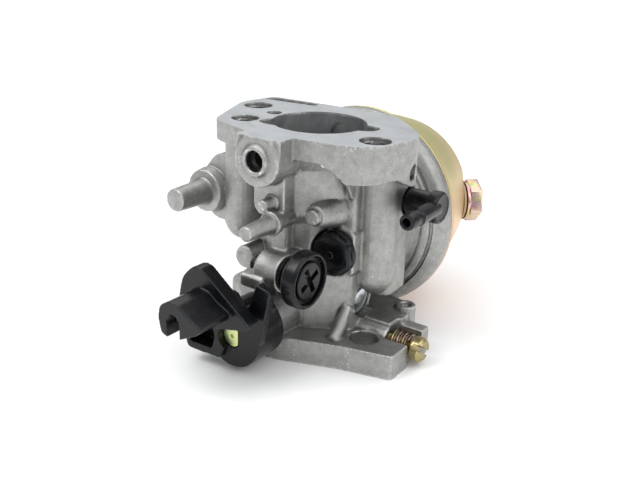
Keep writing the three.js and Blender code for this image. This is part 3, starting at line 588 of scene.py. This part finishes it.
def hexagonal(name: str, flats: float, low: float, high: float, dish: float = 0.0) -> Piece:
    """A hexagon head along Z with a chamfered top, and a shallow dish if one is given.

    Args:
        name: The piece's name.
        flats: Size across the flats in millimetres.
        low: Height of the underside.
        high: Height of the top.
        dish: Depth of the dish in the top.

    Returns:
        The closed solid.
    """
    bpy.ops.mesh.primitive_cylinder_add(
        vertices=6,
        radius=flats / math.sqrt(3) * MM,
        depth=(high - low) * MM,
        location=(0, 0, (high + low) / 2 * MM),
    )
    piece = bpy.context.object
    piece.name = name
    bpy.ops.object.transform_apply(location=True, rotation=True, scale=True)
    with editing(piece, "EDGE") as shape:
        pick(piece, shape.edges, lambda e: all(abs(v.co.z - high * MM) < MM * 0.01 for v in e.verts))
        bpy.ops.mesh.bevel(offset=0.6 * MM, segments=3, affect="EDGES")
        shape = bmesh.from_edit_mesh(piece.data)
        pick(piece, shape.edges, lambda e: abs(e.verts[0].co.z - e.verts[1].co.z) > MM * (high - low) * 0.6)
        bpy.ops.mesh.bevel(offset=0.3 * MM, segments=3, affect="EDGES")
    if dish:
        with editing(piece) as shape:
            top = (high - 0.05) * MM
            pick(piece, shape.faces, lambda f: f.normal.z > 0.99 and f.calc_center_median().z > top)
            bpy.ops.mesh.inset(thickness=1.4 * MM)
            bpy.ops.mesh.inset(thickness=0.35 * MM, depth=-dish * MM)
    return piece


def block(name: str, low: Point, high: Point) -> Piece:
    """A plain box used as a cutter, between two corners in millimetres."""
    middle = (Vector(low) + Vector(high)) / 2 * MM
    bpy.ops.mesh.primitive_cube_add(size=1, location=middle)
    piece = bpy.context.object
    piece.name = name
    piece.scale = (Vector(high) - Vector(low)) * MM
    bpy.ops.object.transform_apply(location=True, rotation=True, scale=True)
    return piece


def softened(node: str, name: str, voxel: float, passes: int) -> Piece:
    """Copies a frame solid, closes it and rounds every corner as casting or moulding does.

    Args:
        node: The frame node to copy.
        name: The new piece's name.
        voxel: Size of the remeshed faces in millimetres.
        passes: Rounds of smoothing.

    Returns:
        The rounded copy, which keeps inside the solid's box.
    """
    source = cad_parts[node]
    piece = bpy.data.objects.new(name, source.data.copy())
    bpy.context.scene.collection.objects.link(piece)
    piece.data.materials.clear()
    with editing(piece, "VERT"):
        bpy.ops.mesh.select_all(action="SELECT")
        bpy.ops.mesh.remove_doubles(threshold=MM * 0.001)
    finish_modifier(piece, "REMESH", mode="VOXEL", voxel_size=voxel * MM)
    finish_modifier(piece, "SMOOTH", factor=0.5, iterations=passes)
    reach = [[corner[i] for corner in source.bound_box] for i in range(3)]
    within = 1 - 1e-5
    for vertex in piece.data.vertices:
        held = [min(max(value, min(span)), max(span)) for value, span in zip(vertex.co, reach)]
        vertex.co = Vector(held) * within
    return piece


def smooth(piece: Piece, angle: float = 35.0) -> None:
    """Shades a piece smooth, except across corners sharper than an angle in degrees."""
    only(piece)
    bpy.ops.object.shade_smooth_by_angle(angle=math.radians(angle))


def settle(piece: Piece, finish: Finish, body: str, slot: str, *nodes: str, angle: float = 35.0) -> Piece:
    """Gives a piece its finish, its body and the nodes it stands for.

    Args:
        piece: The finished shape.
        finish: Its surface.
        body: The body it rides on.
        slot: The record's material slot; not used.
        *nodes: The frame nodes that it replaces.
        angle: Corners sharper than this stay crisp.

    Returns:
        The same object.
    """
    smooth(piece, angle)
    if not piece.data.materials:
        piece.data.materials.append(finish.material())
    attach(piece, body)
    if nodes:
        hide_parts(*nodes)
    LOG.info("%s: %d faces on %s", piece.name, len(piece.data.polygons), body)
    return piece


def dress(node: str, finish: Finish) -> None:
    """Gives a frame node that keeps its own shape a detailed finish."""
    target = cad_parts[node]
    target.data.materials.clear()
    target.data.materials.append(finish.material())
    LOG.info("%s: frame solid, %s", node, finish.name)


# ---- Sub-assemblies -----------------------------------------------------------------------------
@dataclass
class Casting:
    """The body casting, with its machined faces, and the two plugs pressed into it."""

    voxel: float = 0.3
    smoothing: int = 3
    face_band: float = 0.3
    flange_back: float = 20.0
    air_centre: Span = (1.4, 0.8)
    air_radius: float = 11.4
    throat_radius: float = 9.4
    floor_of_horn: float = 36.0
    choke_bore: float = 2.7
    choke_bore_ends: Span = (-20.8, -8.0)
    most_triangles: int = 180_000
    holes: dict[str, tuple[float, float, float]] = field(
        default_factory=lambda: {
            "right_hole": (20.32, -5.29, 3.5),
            "left_hole": (-20.32, 5.29, 3.5),
            "screw_hole": (-13.7, -7.7, 3.2),
        }
    )
    rings: int = 8
    ring_pitch: float = 0.9

    def build(self) -> None:
        """Makes the casting, what stands crisply out of it and its plugs."""
        piece = softened("body_casting", "cast_body", self.voxel, self.smoothing)
        self._face_flanges(piece)
        self._thin(piece)
        for finish in (DIE_CAST, MILLED, BORED, DEEP_BORE):
            piece.data.materials.append(finish.material())
        for polygon in piece.data.polygons:
            polygon.material_index = self._skin(polygon)
        settle(piece, DIE_CAST, "body", CAST_SLOT, "body_casting", angle=60)
        self._posts()
        self._cover_rim()
        self._drill_marks()
        self._choke_end()
        self._welch_plug()
        self._passage_plug()

    def _posts(self) -> None:
        """The posts, the pin and the choke boss's ring, whose rims stay crisp as cast."""
        step = [(0, 12), (2.1, 12), (2.1, 17.2), (2.5, 17.3), (2.9, 19.5), (2.15, 19.7)]
        step += [(1.7, 27.7), (1.4, 28), (0, 28)]
        peg = [(0, 15.2), (2.1, 15.2), (2.0, 16.7), (1.45, 17), (1.35, 19.7), (1.1, 20), (0, 20)]
        cone = [(0, 6), (4.1, 6.6), (2.7, 11.2), (2.4, 12), (1.9, 12.1), (1.8, 13.1), (1.55, 13.4), (0, 13.4)]
        stub = [(0, 3), (2.9, 3), (2.8, 11.6), (2.45, 12), (0, 12)]
        pin = [(0, 8), (5.6, 8.6), (5.2, 11.2), (4.8, 11.45), (3.4, 11.6), (3.1, 12.2)]
        pin += [(2.75, 21), (2.4, 21.4), (0, 21.4)]
        ring = [(2.3, 18), (3.5, 18), (3.4, 21), (3.15, 21.3), (2.6, 21.3), (2.35, 21.05), (2.3, 18)]
        for name, x, z, profile in (
            ("stepped_post", 3.2, 34.0, step),
            ("small_peg", 1.2, 37.8, peg),
            ("cone_stub", 10.0, 35.3, cone),
            ("round_stub", -10.3, 20.3, stub),
            ("pivot_pin", -23.6, 34.0, pin),
            ("choke_ring", 0.0, CHOKE_Z, ring),
        ):
            piece = place(spun(name, eased(profile, 0.3, 3)), Axis.FRONT, (x, 0, z))
            settle(piece, DIE_CAST, "body", CAST_SLOT)

    def _choke_end(self) -> None:
        """The disc that closes the far end of the choke shaft's bore, flush with the air horn's wall."""
        profile = [(0, 11.7), (2.4, 11.7), (2.4, 12.9), (0, 12.9)]
        piece = place(spun("choke_bore_end", profile), Axis.Y, (0, 0, CHOKE_Z))
        settle(piece, BORED, "body", CAST_SLOT)

    def _cover_rim(self) -> None:
        """The two raised bands round the bowl's cover."""
        outer = [(23.3, 19.7), (23.5, 19.0), (25.3, 20.3), (26.0, 21.3), (26.15, 23.9), (24.0, 23.9)]
        inner = [(20.5, 20.0), (20.6, 17.8), (21.3, 17.9), (22.5, 18.6), (22.8, 19.4)]
        profile = inner + outer + inner[:1]
        piece = place(spun("cover_rim", eased(profile, 0.3, 3), 160), Axis.Y, (0, 0, BOWL_Z))
        settle(piece, DIE_CAST, "body", CAST_SLOT)

    def _drill_marks(self) -> None:
        """Fine rings down the sides of the three drilled holes in the top face."""
        low = HEIGHT - 8
        top = HEIGHT - 0.7
        for name, (x, y, radius) in self.holes.items():
            profile = [(radius + 0.3, low)]
            for i in range(self.rings):
                start = low + self.ring_pitch * i
                profile += [(radius + 0.02, start + 0.1), (radius - 0.14, start + 0.5)]
            profile += [(radius + 0.02, top), (radius + 0.3, top), profile[0]]
            piece = place(spun(f"{name}_rings", profile, 48), Axis.Z, (x, y, 0))
            # The rings take the drilled finish, painted dark as the shade inside the holes.
            settle(piece, DRILLED, "body", CAST_SLOT)

    def _face_flanges(self, piece: Piece) -> None:
        """Presses the two flange faces back to true flats after the rounding."""
        for vertex in piece.data.vertices:
            height = vertex.co.z / MM
            if height > HEIGHT - self.face_band and vertex.co.y < self.flange_back * MM:
                vertex.co.z = HEIGHT * MM
            elif height < self.face_band:
                vertex.co.z = 0.0

    def _thin(self, piece: Piece) -> None:
        """Thins the mesh if it has more faces than it needs."""
        count = 2 * len(piece.data.polygons)
        if count > self.most_triangles:
            finish_modifier(piece, "DECIMATE", ratio=self.most_triangles / count)

    def _skin(self, polygon: bpy.types.MeshPolygon) -> int:
        """Says which skin a face has: 0 as cast, 1 milled, 2 bored, 3 deep in the choke shaft's bore, painted
        near-black as shade.
        """
        middle, tilt = polygon.center / MM, abs(polygon.normal.z)
        if tilt > 0.9 and (middle.z > HEIGHT - 0.1 or middle.z < 0.1):
            return 1
        across = Vector((middle.x, middle.y))
        in_horn = (across - Vector(self.air_centre)).length < self.air_radius
        if middle.z > self.floor_of_horn and in_horn and tilt < 0.5:
            return 2
        if middle.z < self.floor_of_horn + 0.5 and across.length < self.throat_radius:
            return 2
        from_choke = Vector((middle.x, middle.z - CHOKE_Z))
        front, back = self.choke_bore_ends
        if front < middle.y < back and from_choke.length < self.choke_bore:
            return 3
        return 0

    def _welch_plug(self) -> None:
        """The shiny dome pressed into the casting below the right-hand column."""
        profile = [(0, 0), (4.4, 0), (4.4, 1.0), (3.9, 1.2), (3.5, 1.0), (3.1, 1.2), (2.0, 1.85), (0, 2.2)]
        piece = place(spun("welch_plug_dome", eased(profile, 0.4, 5)), Axis.X, (12.5, 2.2, 11.9))
        settle(piece, BRIGHT_STEEL, "body", "bright_steel", "welch_plug")

    def _passage_plug(self) -> None:
        """The small disc pressed into the throttle bore's wall."""
        profile = [(0, 9.3), (1.6, 9.3), (1.6, 10.0), (1.2, 10.1), (0.9, 9.85), (0, 9.8)]
        piece = place(spun("passage_plug_disc", eased(profile, 0.15)), Axis.FRONT, (6.8, 0, 15.6))
        settle(piece, BRIGHT_STEEL, "body", "bright_steel", "passage_plug")


@dataclass
class Throttle:
    """The shaft with its D end, the moulded lever, the brass plate and what holds it."""

    lever_voxel: float = 0.2
    shaft_voxel: float = 0.16
    plate_voxel: float = 0.2

    def build(self) -> None:
        """Makes everything that turns with the throttle, and the seal behind the lever."""
        lever = softened("throttle_lever", "lever_moulding", self.lever_voxel, 4)
        settle(lever, NYLON, "throttle", "black_nylon", "throttle_lever", angle=60)
        shaft = softened("throttle_shaft", "plated_shaft", self.shaft_voxel, 2)
        settle(shaft, SHAFT_CHROMATE, "throttle", "yellow_zinc", "throttle_shaft", angle=60)
        plate = softened("throttle_plate", "throttle_disc", self.plate_voxel, 2)
        settle(plate, BRASS, "throttle", "brass", "throttle_plate", angle=50)
        for i in (1, 2):
            screw = softened(f"throttle_plate_screw_{i}", f"disc_screw_{i}", 0.1, 2)
            settle(screw, BRASS, "throttle", "brass", f"throttle_plate_screw_{i}", angle=50)
        seal = softened("throttle_shaft_seal", "shaft_seal_ring", 0.1, 2)
        settle(seal, RUBBER, "body", "black_rubber", "throttle_shaft_seal", angle=60)


@dataclass
class StopScrew:
    """The black idle speed screw: a knob with a rim, a crossed disc in a groove and a thread."""

    y: float = -19.2
    z: float = 23.4
    face: float = 14.6
    head: float = 6.5
    head_long: float = 3.8
    seat: float = 8.3
    collar: float = 4.2
    shank: float = 2.1
    tip: float = -1.6
    pitch: float = 0.8
    cross_turn: float = 27.0
    slot: tuple[float, float, float] = (3.3, 0.72, 1.3)

    def build(self) -> None:
        """Spins the screw and carves the cross into its face."""
        back, face, head, collar = self.face - self.head_long, self.face, self.head, self.collar
        profile = [
            (0.0, self.tip), (self.shank - 0.6, self.tip), (self.shank, self.tip + 0.8),
            (self.shank, self.seat),
        ]
        turn = self.seat
        while turn + self.pitch < back:
            crest = turn + self.pitch / 2
            profile += [(collar - 0.6, turn), (collar, crest - 0.1), (collar, crest + 0.1)]
            turn += self.pitch
        profile += [
            (collar - 0.6, back - 0.05), (head - 0.5, back), (head, back + 0.5), (head, face - 0.7),
            (head - 0.35, face - 0.1), (head - 0.6, face), (head - 0.95, face - 0.1),
            (head - 1.05, face - 1.4), (4.35, face - 1.4), (4.25, face - 0.55), (4.0, face - 0.4),
            (0.0, face - 0.35),
        ]
        piece = place(spun("stop_screw_knob", eased(profile, 0.2, 3), 72), Axis.X, (0, self.y, self.z))
        half, width, depth = self.slot
        for lean in (90 + self.cross_turn, self.cross_turn):
            bar = block("slot", (-half, -width, face - depth), (half, width, face + 1))
            combine(piece, place(bar, Axis.X, (0, self.y, self.z), turn=lean), Cut.CARVE)
        settle(piece, NYLON, "stop_screw", "black_nylon", "idle_stop_screw")


@dataclass
class PilotJet:
    """The black plug with a hexagon front that holds the pilot jet, and its sealing ring."""

    x: float = 11.8
    z: float = 25.4
    front: float = 8.0
    head: float = 5.3
    head_long: float = 2.6
    flange: float = 1.2
    flats: float = 9.7
    shank: float = 1.9
    ring_y: float = -2.0

    def build(self) -> None:
        """Spins the plug, adds its hexagon and the ring."""
        back, front = self.front - self.head_long, self.front
        at = (self.x, 0, self.z)
        body = [
            (0, -1.0), (self.shank, -1.0), (self.shank, back), (self.head, back),
            (self.head, back + self.flange - 0.15), (self.head - 0.3, back + self.flange),
            (0, back + self.flange),
        ]
        piece = place(spun("pilot_jet_plug", eased(body, 0.15, 3), 72), Axis.FRONT, at)
        hexagon = hexagonal("hexagon", self.flats, back + 0.4, front)
        reach = self.head - 0.05
        rounder = [(0, back), (reach, back), (reach, front - 0.5), (self.head - 0.6, front), (0, front)]
        combine(hexagon, spun("rounder", rounder, 72), Cut.COMMON)
        combine(piece, place(hexagon, Axis.FRONT, at, turn=8), Cut.JOIN)
        under, tip = front - 0.5, front + 0.5
        knub = [(0, under), (1.0, under), (0.95, front + 0.3), (0.75, tip), (0, tip)]
        combine(piece, place(spun("knub", eased(knub, 0.1), 32), Axis.FRONT, at), Cut.JOIN)
        settle(piece, NYLON, "body", "black_nylon", "pilot_jet")
        bpy.ops.mesh.primitive_torus_add(
            major_radius=(self.shank + 0.2) * MM, minor_radius=0.14 * MM, major_segments=48, minor_segments=12
        )
        ring = bpy.context.object
        ring.name = "pilot_jet_ring"
        with editing(ring):
            bpy.ops.mesh.select_all(action="SELECT")
            bpy.ops.transform.resize(value=(1, 1, 0.85))
        place(ring, Axis.Y, (self.x, self.ring_y, self.z))
        settle(ring, RUBBER, "body", "black_rubber", "pilot_jet_o_ring")


@dataclass
class MixtureScrew:
    """The slotted brass idle mixture screw, with its thread and its plated spring."""

    y: float = 1.1
    z: float = 4.1
    head: float = 3.0
    head_front: float = 33.0
    head_long: float = 2.6
    root: float = 1.2
    crest: float = 1.55
    pitch: float = 0.5
    wire: float = 0.4
    coils: float = 3.6
    coil_radius: float = 2.5
    spring_from: float = 24.7
    slot_turn: float = 56.0

    def build(self) -> None:
        """Makes the screw and its spring."""
        back = self.head_front - self.head_long
        front = self.head_front
        profile = [(0.0, 9.0), (0.5, 9.4), (self.root, 12.0)]
        turn = 13.0
        while turn + self.pitch < back - 0.2:
            profile += [(self.root, turn), (self.crest, turn + self.pitch / 2)]
            turn += self.pitch
        profile += [
            (self.root + 0.2, back - 0.05), (self.head - 0.25, back), (self.head, back + 0.25),
            (self.head, front - 0.7), (self.head - 0.7, front), (0.0, front),
        ]
        piece = place(spun("mixture_screw_body", profile, 56), Axis.X, (0, self.y, self.z))
        slot = block("slot", (-4, -0.6, front - 1.8), (4, 0.6, front + 1))
        combine(piece, place(slot, Axis.X, (0, self.y, self.z), turn=self.slot_turn), Cut.CARVE)
        sharp = math.radians(55)
        finish_modifier(piece, "BEVEL", width=0.08 * MM, segments=2, limit_method="ANGLE", angle_limit=sharp)
        settle(piece, BRASS, "mixture_needle", "brass", "mixture_screw")
        self._spring(back)

    def _spring(self, back: float) -> None:
        """Sweeps the wire's section round the screw.

        Args:
            back: Where the underside of the screw's head is.
        """
        length = back - 0.35 - self.wire - self.spring_from
        bpy.ops.mesh.primitive_circle_add(vertices=16, radius=self.wire * MM, fill_type="NGON")
        piece = bpy.context.object
        piece.name = "mixture_spring_coil"
        place(piece, Axis.Y, (self.coil_radius, 0, 0))
        with editing(piece) as shape:
            pick(piece, shape.faces, lambda f: True)
            bpy.ops.mesh.inset(thickness=0.12 * MM)
        finish_modifier(
            piece,
            "SCREW",
            axis="Z",
            angle=2 * math.pi * self.coils,
            screw_offset=length * MM,
            steps=int(self.coils * 40),
            render_steps=int(self.coils * 40),
            use_merge_vertices=False,
        )
        place(piece, Axis.X, (self.spring_from, self.y, self.z))
        with editing(piece, "VERT"):
            bpy.ops.mesh.select_all(action="SELECT")
            bpy.ops.mesh.remove_doubles(threshold=MM * 0.002)
            bpy.ops.mesh.normals_make_consistent(inside=False)
        settle(piece, SCREW_CHROMATE, "body", "yellow_zinc", "mixture_screw_spring", angle=60)


@dataclass
class Connections:
    """The black vent elbow on the right and the brass fuel nipple on the left."""

    elbow_y: float = 10.0
    elbow_z: float = 36.0
    barb_x: float = 28.5
    barb_tip: float = -4.0
    nipple_y: float = 13.0
    nipple_z: float = 26.0

    def build(self) -> None:
        """Makes both connections."""
        self._elbow()
        self._nipple()

    def _elbow(self) -> None:
        """A stub into the casting, a round end and a stepped barb at right angles to it."""
        body = [
            (0, 17.1), (3.2, 17.1), (3.2, 27.2), (3.8, 27.2), (3.8, 29.5), (3.45, 30.0), (2.9, 30.0),
            (2.75, 29.85), (0, 29.85),
        ]
        piece = place(spun("vent_elbow_body", eased(body, 0.3, 3)), Axis.X, (0, self.elbow_y, self.elbow_z))
        tip = -self.barb_tip
        barb = [
            (0, -self.elbow_y + 1), (2.05, -self.elbow_y + 1), (2.05, -1.6), (2.15, -0.9), (1.8, -0.4),
            (1.75, 0.8), (2.0, 1.1), (1.85, tip - 0.3), (1.65, tip), (0, tip),
        ]
        stem = place(spun("barb", eased(barb, 0.18, 3), 48), Axis.FRONT, (self.barb_x, 0, self.elbow_z))
        combine(piece, stem, Cut.JOIN)
        hole = [(0, -8), (1.1, -8), (1.1, 6), (0, 6)]
        bore = place(spun("bore", hole, 40), Axis.FRONT, (self.barb_x, 0, self.elbow_z))
        combine(piece, bore, Cut.CARVE)
        settle(piece, NYLON, "body", "black_nylon", "vent_elbow")

    def _nipple(self) -> None:
        """A hexagon collar and a hose barb with a through bore."""
        profile = [
            (0, 14.1), (3.0, 14.1), (3.0, 21.0), (2.2, 21.4), (2.2, 26.2), (2.6, 26.5), (2.1, 28.9),
            (1.9, 29.0), (0, 29.0),
        ]
        at = (0, self.nipple_y, self.nipple_z)
        piece = place(spun("fuel_nipple_barb", eased(profile, 0.2, 3)), Axis.BACK_X, at)
        combine(piece, place(hexagonal("collar", 7, 21.3, 22.9), Axis.BACK_X, at), Cut.JOIN)
        bore = place(spun("bore", [(0, 12), (1.3, 12), (1.3, 31), (0, 31)], 40), Axis.BACK_X, at)
        combine(piece, bore, Cut.CARVE)
        settle(piece, BRASS, "body", "brass", "fuel_inlet_nipple")


@dataclass
class Bowl:
    """The drawn steel bowl with its pressed drain flat, its gasket, both bolts and their washers."""

    centre_z: float = BOWL_Z
    radius: float = 26.2
    mouth: float = 24.0
    bottom: float = 49.5
    wall: float = 0.9
    drain_centre: float = 28.3
    drain_seat: float = 24.1
    steps: int = 160

    def build(self) -> None:
        """Makes the bowl and what fastens it."""
        self._shell()
        self._gasket()
        self._centre_bolt()
        self._drain_bolt()

    def _shell(self) -> None:
        """Spins the wall as one line, presses the flat into it and thickens it inwards."""
        radius, mouth, bottom = self.radius, self.mouth, self.bottom
        line = [
            (radius - 1.4, mouth + 0.6), (radius - 0.05, mouth + 0.1), (radius - 0.05, mouth + 0.9),
            (radius - 0.9, mouth + 1.7), (radius - 1.3, 27.0), (radius - 2.2, 30), (radius - 4.2, 38),
            (radius - 5.4, 42), (radius - 6.1, 44.6), (radius - 7.6, 47.2), (radius - 10, bottom - 0.4),
            (radius - 12.4, bottom), (8.4, bottom), (7.6, bottom - 0.25), (3.3, bottom - 0.25),
        ]
        piece = spun("bowl_shell", eased(line, 1.6, 4), self.steps)
        place(piece, Axis.Y, (0, 0, self.centre_z))
        self._press_flat(piece)
        with editing(piece, "VERT"):
            bpy.ops.mesh.select_all(action="SELECT")
            bpy.ops.mesh.normals_make_consistent(inside=False)
        self._face_out(piece)
        finish_modifier(piece, "SOLIDIFY", thickness=self.wall * MM, offset=-1.0)
        settle(piece, BOWL_CHROMATE, "body", "yellow_zinc", "float_bowl", angle=50)

    def _face_out(self, piece: Piece) -> None:
        """Turns the open wall's faces away from the bowl's axis if they point at it."""
        middle = Vector((0, 36, self.centre_z)) * MM
        outward = sum((p.center - middle).dot(p.normal) * p.area for p in piece.data.polygons)
        if outward < 0:
            with editing(piece):
                bpy.ops.mesh.select_all(action="SELECT")
                bpy.ops.mesh.flip_normals()

    def _press_flat(self, piece: Piece) -> None:
        """Moves the wall back to the drain bolt's seat, with a soft bend round it."""
        axis = Axis.DRAIN.value
        origin = Vector((0, self.drain_centre, self.centre_z)) * MM
        for vertex in piece.data.vertices:
            out = vertex.co - origin
            along = out.dot(axis)
            aside = (out - axis * along).length
            proud = along - self.drain_seat * MM
            if proud <= 0 or aside > 11 * MM:
                continue
            share = min(1.0, max(0.0, (8.6 * MM - aside) / (2.2 * MM)))
            vertex.co -= axis * proud * share * share * (3 - 2 * share)

    def _gasket(self) -> None:
        """The ring between the cover and the bowl."""
        low, high = 24.15, 24.5
        middle = (low + high) / 2
        profile = [(24.3, low), (25.4, low), (25.5, middle), (25.4, high), (24.3, high), (24.3, low)]
        piece = place(spun("bowl_gasket_ring", profile, 128), Axis.Y, (0, 0, self.centre_z))
        settle(piece, FIBRE, "body", "gasket", "bowl_gasket")

    def _centre_bolt(self) -> None:
        """The flanged bolt on the bowl's axis and its washer."""
        at = (0, 0, self.centre_z)
        radii, ends = (7.0, 3.3), (49.8, 50.8)
        self._washer("bowl_bolt_washer_ring", FIBRE, radii, ends, Axis.Y, at, "bowl_bolt_washer")
        stem = [(0, 42.2), (2.6, 42.2), (2.9, 43), (2.9, 51.1)]
        stem += [(6.7, 51.1), (6.5, 52), (5.6, 52.5), (0, 52.5)]
        self._bolt("bowl_bolt", stem, (52.1, 57.6), Axis.Y, at)

    def _drain_bolt(self) -> None:
        """The drain bolt on its slanted seat, with its washer."""
        axis = Axis.DRAIN.value * self.drain_seat
        at = (axis.x, self.drain_centre + axis.y, self.centre_z)
        radii, ends = (5.0, 3.2), (0.3, 0.9)
        self._washer("drain_washer_ring", TAN_FIBRE, radii, ends, Axis.DRAIN, at, "drain_bolt_washer")
        stem = [(0, -2.6), (2.6, -2.6), (2.9, -2.3), (2.9, 1.2), (5.3, 1.2), (5.2, 2), (4.8, 2.4), (0, 2.4)]
        self._bolt("drain_bolt", stem, (2.1, 5.4), Axis.DRAIN, at)

    @staticmethod
    def _washer(
        name: str, finish: Finish, radii: Span, ends: Span, axis: Axis, at: Point, node: str
    ) -> None:
        """Spins a washer with softened rims.

        Args:
            name: The piece's name.
            finish: Its surface.
            radii: Outer and inner radius in millimetres.
            ends: Where it starts and ends along its axis.
            axis: Its axis.
            at: Where the axis starts.
            node: The frame node that it replaces.
        """
        (outer, inner), (low, high) = radii, ends
        profile = [(inner, low), (outer, low), (outer, high), (inner, high), (inner, low)]
        ring = place(spun(name, profile, 64), axis, at)
        finish_modifier(ring, "BEVEL", width=0.15 * MM, segments=2, limit_method="ANGLE")
        settle(ring, finish, "body", "gasket", node)

    @staticmethod
    def _bolt(node: str, stem: Profile, head: Span, axis: Axis, at: Point) -> None:
        """Spins a bolt's stem and flange, and joins its hexagon to it.

        Args:
            node: The frame node that it replaces.
            stem: The profile of the stem and flange.
            head: Where the hexagon starts and ends along the axis.
            axis: Its axis.
            at: Where the axis starts.
        """
        piece = place(spun(f"{node}_stem", eased(stem, 0.2, 3), 64), axis, at)
        hexagon = hexagonal("head", 10, *head, dish=0.4)
        combine(piece, place(hexagon, axis, at), Cut.JOIN)
        settle(piece, SCREW_CHROMATE, "body", "yellow_zinc", node)


@dataclass
class BowlInside:
    """What works inside the bowl and the throat: nozzle, jets, needle and float."""

    finishes: dict[str, Finish] = field(
        default_factory=lambda: {
            "main_jet": BRASS,
            "needle_seat": BRASS,
            "float_needle": BRASS,
            "float_pin": BRIGHT_STEEL,
            "float": NYLON,
        }
    )

    def build(self) -> None:
        """Finishes the solids that stay as they are, and spins the nozzle that shows in the throat."""
        for node, finish in self.finishes.items():
            dress(node, finish)
        outside = [(1.7, 1.4), (1.9, 1.7), (2.1, 12), (2.4, 12.6), (2.4, 35.6)]
        profile = [(1.1, 1.4), *outside, (1.1, 35.6), (1.1, 1.4)]
        piece = place(spun("nozzle_tube", profile, 48), Axis.Y, (0, 0, BOWL_Z))
        settle(piece, BRASS, "body", "brass", "main_nozzle")


# ---- Studio -------------------------------------------------------------------------------------
@dataclass
class Softbox:
    """A rectangular studio light."""

    name: str
    at: Point
    towards: Point
    size: Span
    power: float

    def build(self) -> None:
        """Adds the light, turned to face its target."""
        lamp = bpy.data.lights.new(self.name, "AREA")
        lamp.shape = "RECTANGLE"
        lamp.size, lamp.size_y = self.size
        lamp.energy = self.power
        holder = bpy.data.objects.new(self.name, lamp)
        bpy.context.scene.collection.objects.link(holder)
        holder.location = self.at
        aim = Vector(self.towards) - Vector(self.at)
        holder.rotation_euler = aim.to_track_quat("-Z", "Y").to_euler()


@dataclass
class Studio:
    """The pale floor, the soft lights, the grey-white surround and the camera."""

    azimuth: float = 34.5
    elevation: float = 21.1
    roll: float = 2.1
    lens: float = 46.86
    stand: Point = (109.26, -154.16, 96.75)
    lights: list[Softbox] = field(
        default_factory=lambda: [
            Softbox("overhead", (0.0, 0.3, 1.6), (0, 0.3, 0), (4.0, 4.0), 56.0),
            Softbox("key", (-0.25, -0.35, 0.6), (0, 0, 0.03), (0.35, 0.35), 1.8),
            Softbox("side", (0.5, 0.05, 0.3), (0, 0, 0.03), (0.3, 0.4), 0.6),
        ]
    )

    def build(self) -> None:
        """Sets the stage and the camera."""
        self._floor()
        self._surround()
        for light in self.lights:
            light.build()
        self._camera()

    def _floor(self) -> None:
        """A wide pale sheet that the object stands on."""
        bpy.ops.mesh.primitive_plane_add(size=6, location=(0, 0, 0))
        floor = bpy.context.object
        floor.name = "studio_floor"
        paint = bpy.data.materials.new("matt white backdrop paint")
        paint.use_nodes = True
        shader = paint.node_tree.nodes["Principled BSDF"]
        shader.inputs["Base Color"].default_value = linear("#f7f7f7")
        shader.inputs["Roughness"].default_value = 0.9
        floor.data.materials.append(paint)

    def _surround(self) -> None:
        """An even pale light from all round."""
        world = bpy.data.worlds.new("white tent")
        world.use_nodes = True
        back = world.node_tree.nodes["Background"]
        back.inputs["Color"].default_value = linear("#f4f6f8")
        back.inputs["Strength"].default_value = 0.46
        bpy.context.scene.world = world
        bpy.context.scene.view_settings.view_transform = "Standard"

    def _camera(self) -> None:
        """A fixed camera at the product's viewing angle."""
        a, e, r = (math.radians(v) for v in (self.azimuth, self.elevation, self.roll))
        back = Vector((math.sin(a) * math.cos(e), -math.cos(a) * math.cos(e), math.sin(e)))
        right = Vector((math.cos(a), math.sin(a), 0))
        up = back.cross(right)
        side = right * math.cos(r) + up * math.sin(r)
        top = up * math.cos(r) - right * math.sin(r)
        optics = bpy.data.cameras.new("camera")
        optics.lens = self.lens
        optics.clip_start = 0.01
        holder = bpy.data.objects.new("camera", optics)
        bpy.context.scene.collection.objects.link(holder)
        turn = Matrix((side, top, back)).transposed().to_4x4()
        holder.matrix_world = Matrix.Translation(Vector(self.stand) * MM) @ turn
        bpy.context.scene.camera = holder


def main() -> None:
    """Builds each sub-assembly in turn and reports it."""
    logging.basicConfig(level=logging.INFO, format="%(message)s")
    Studio().build()
    for assembly in (
        Casting(),
        Throttle(),
        StopScrew(),
        PilotJet(),
        MixtureScrew(),
        Connections(),
        Bowl(),
        BowlInside(),
    ):
        assembly.build()
        LOG.info("built: %s", type(assembly).__name__)


if __name__ == "__main__":
    main()
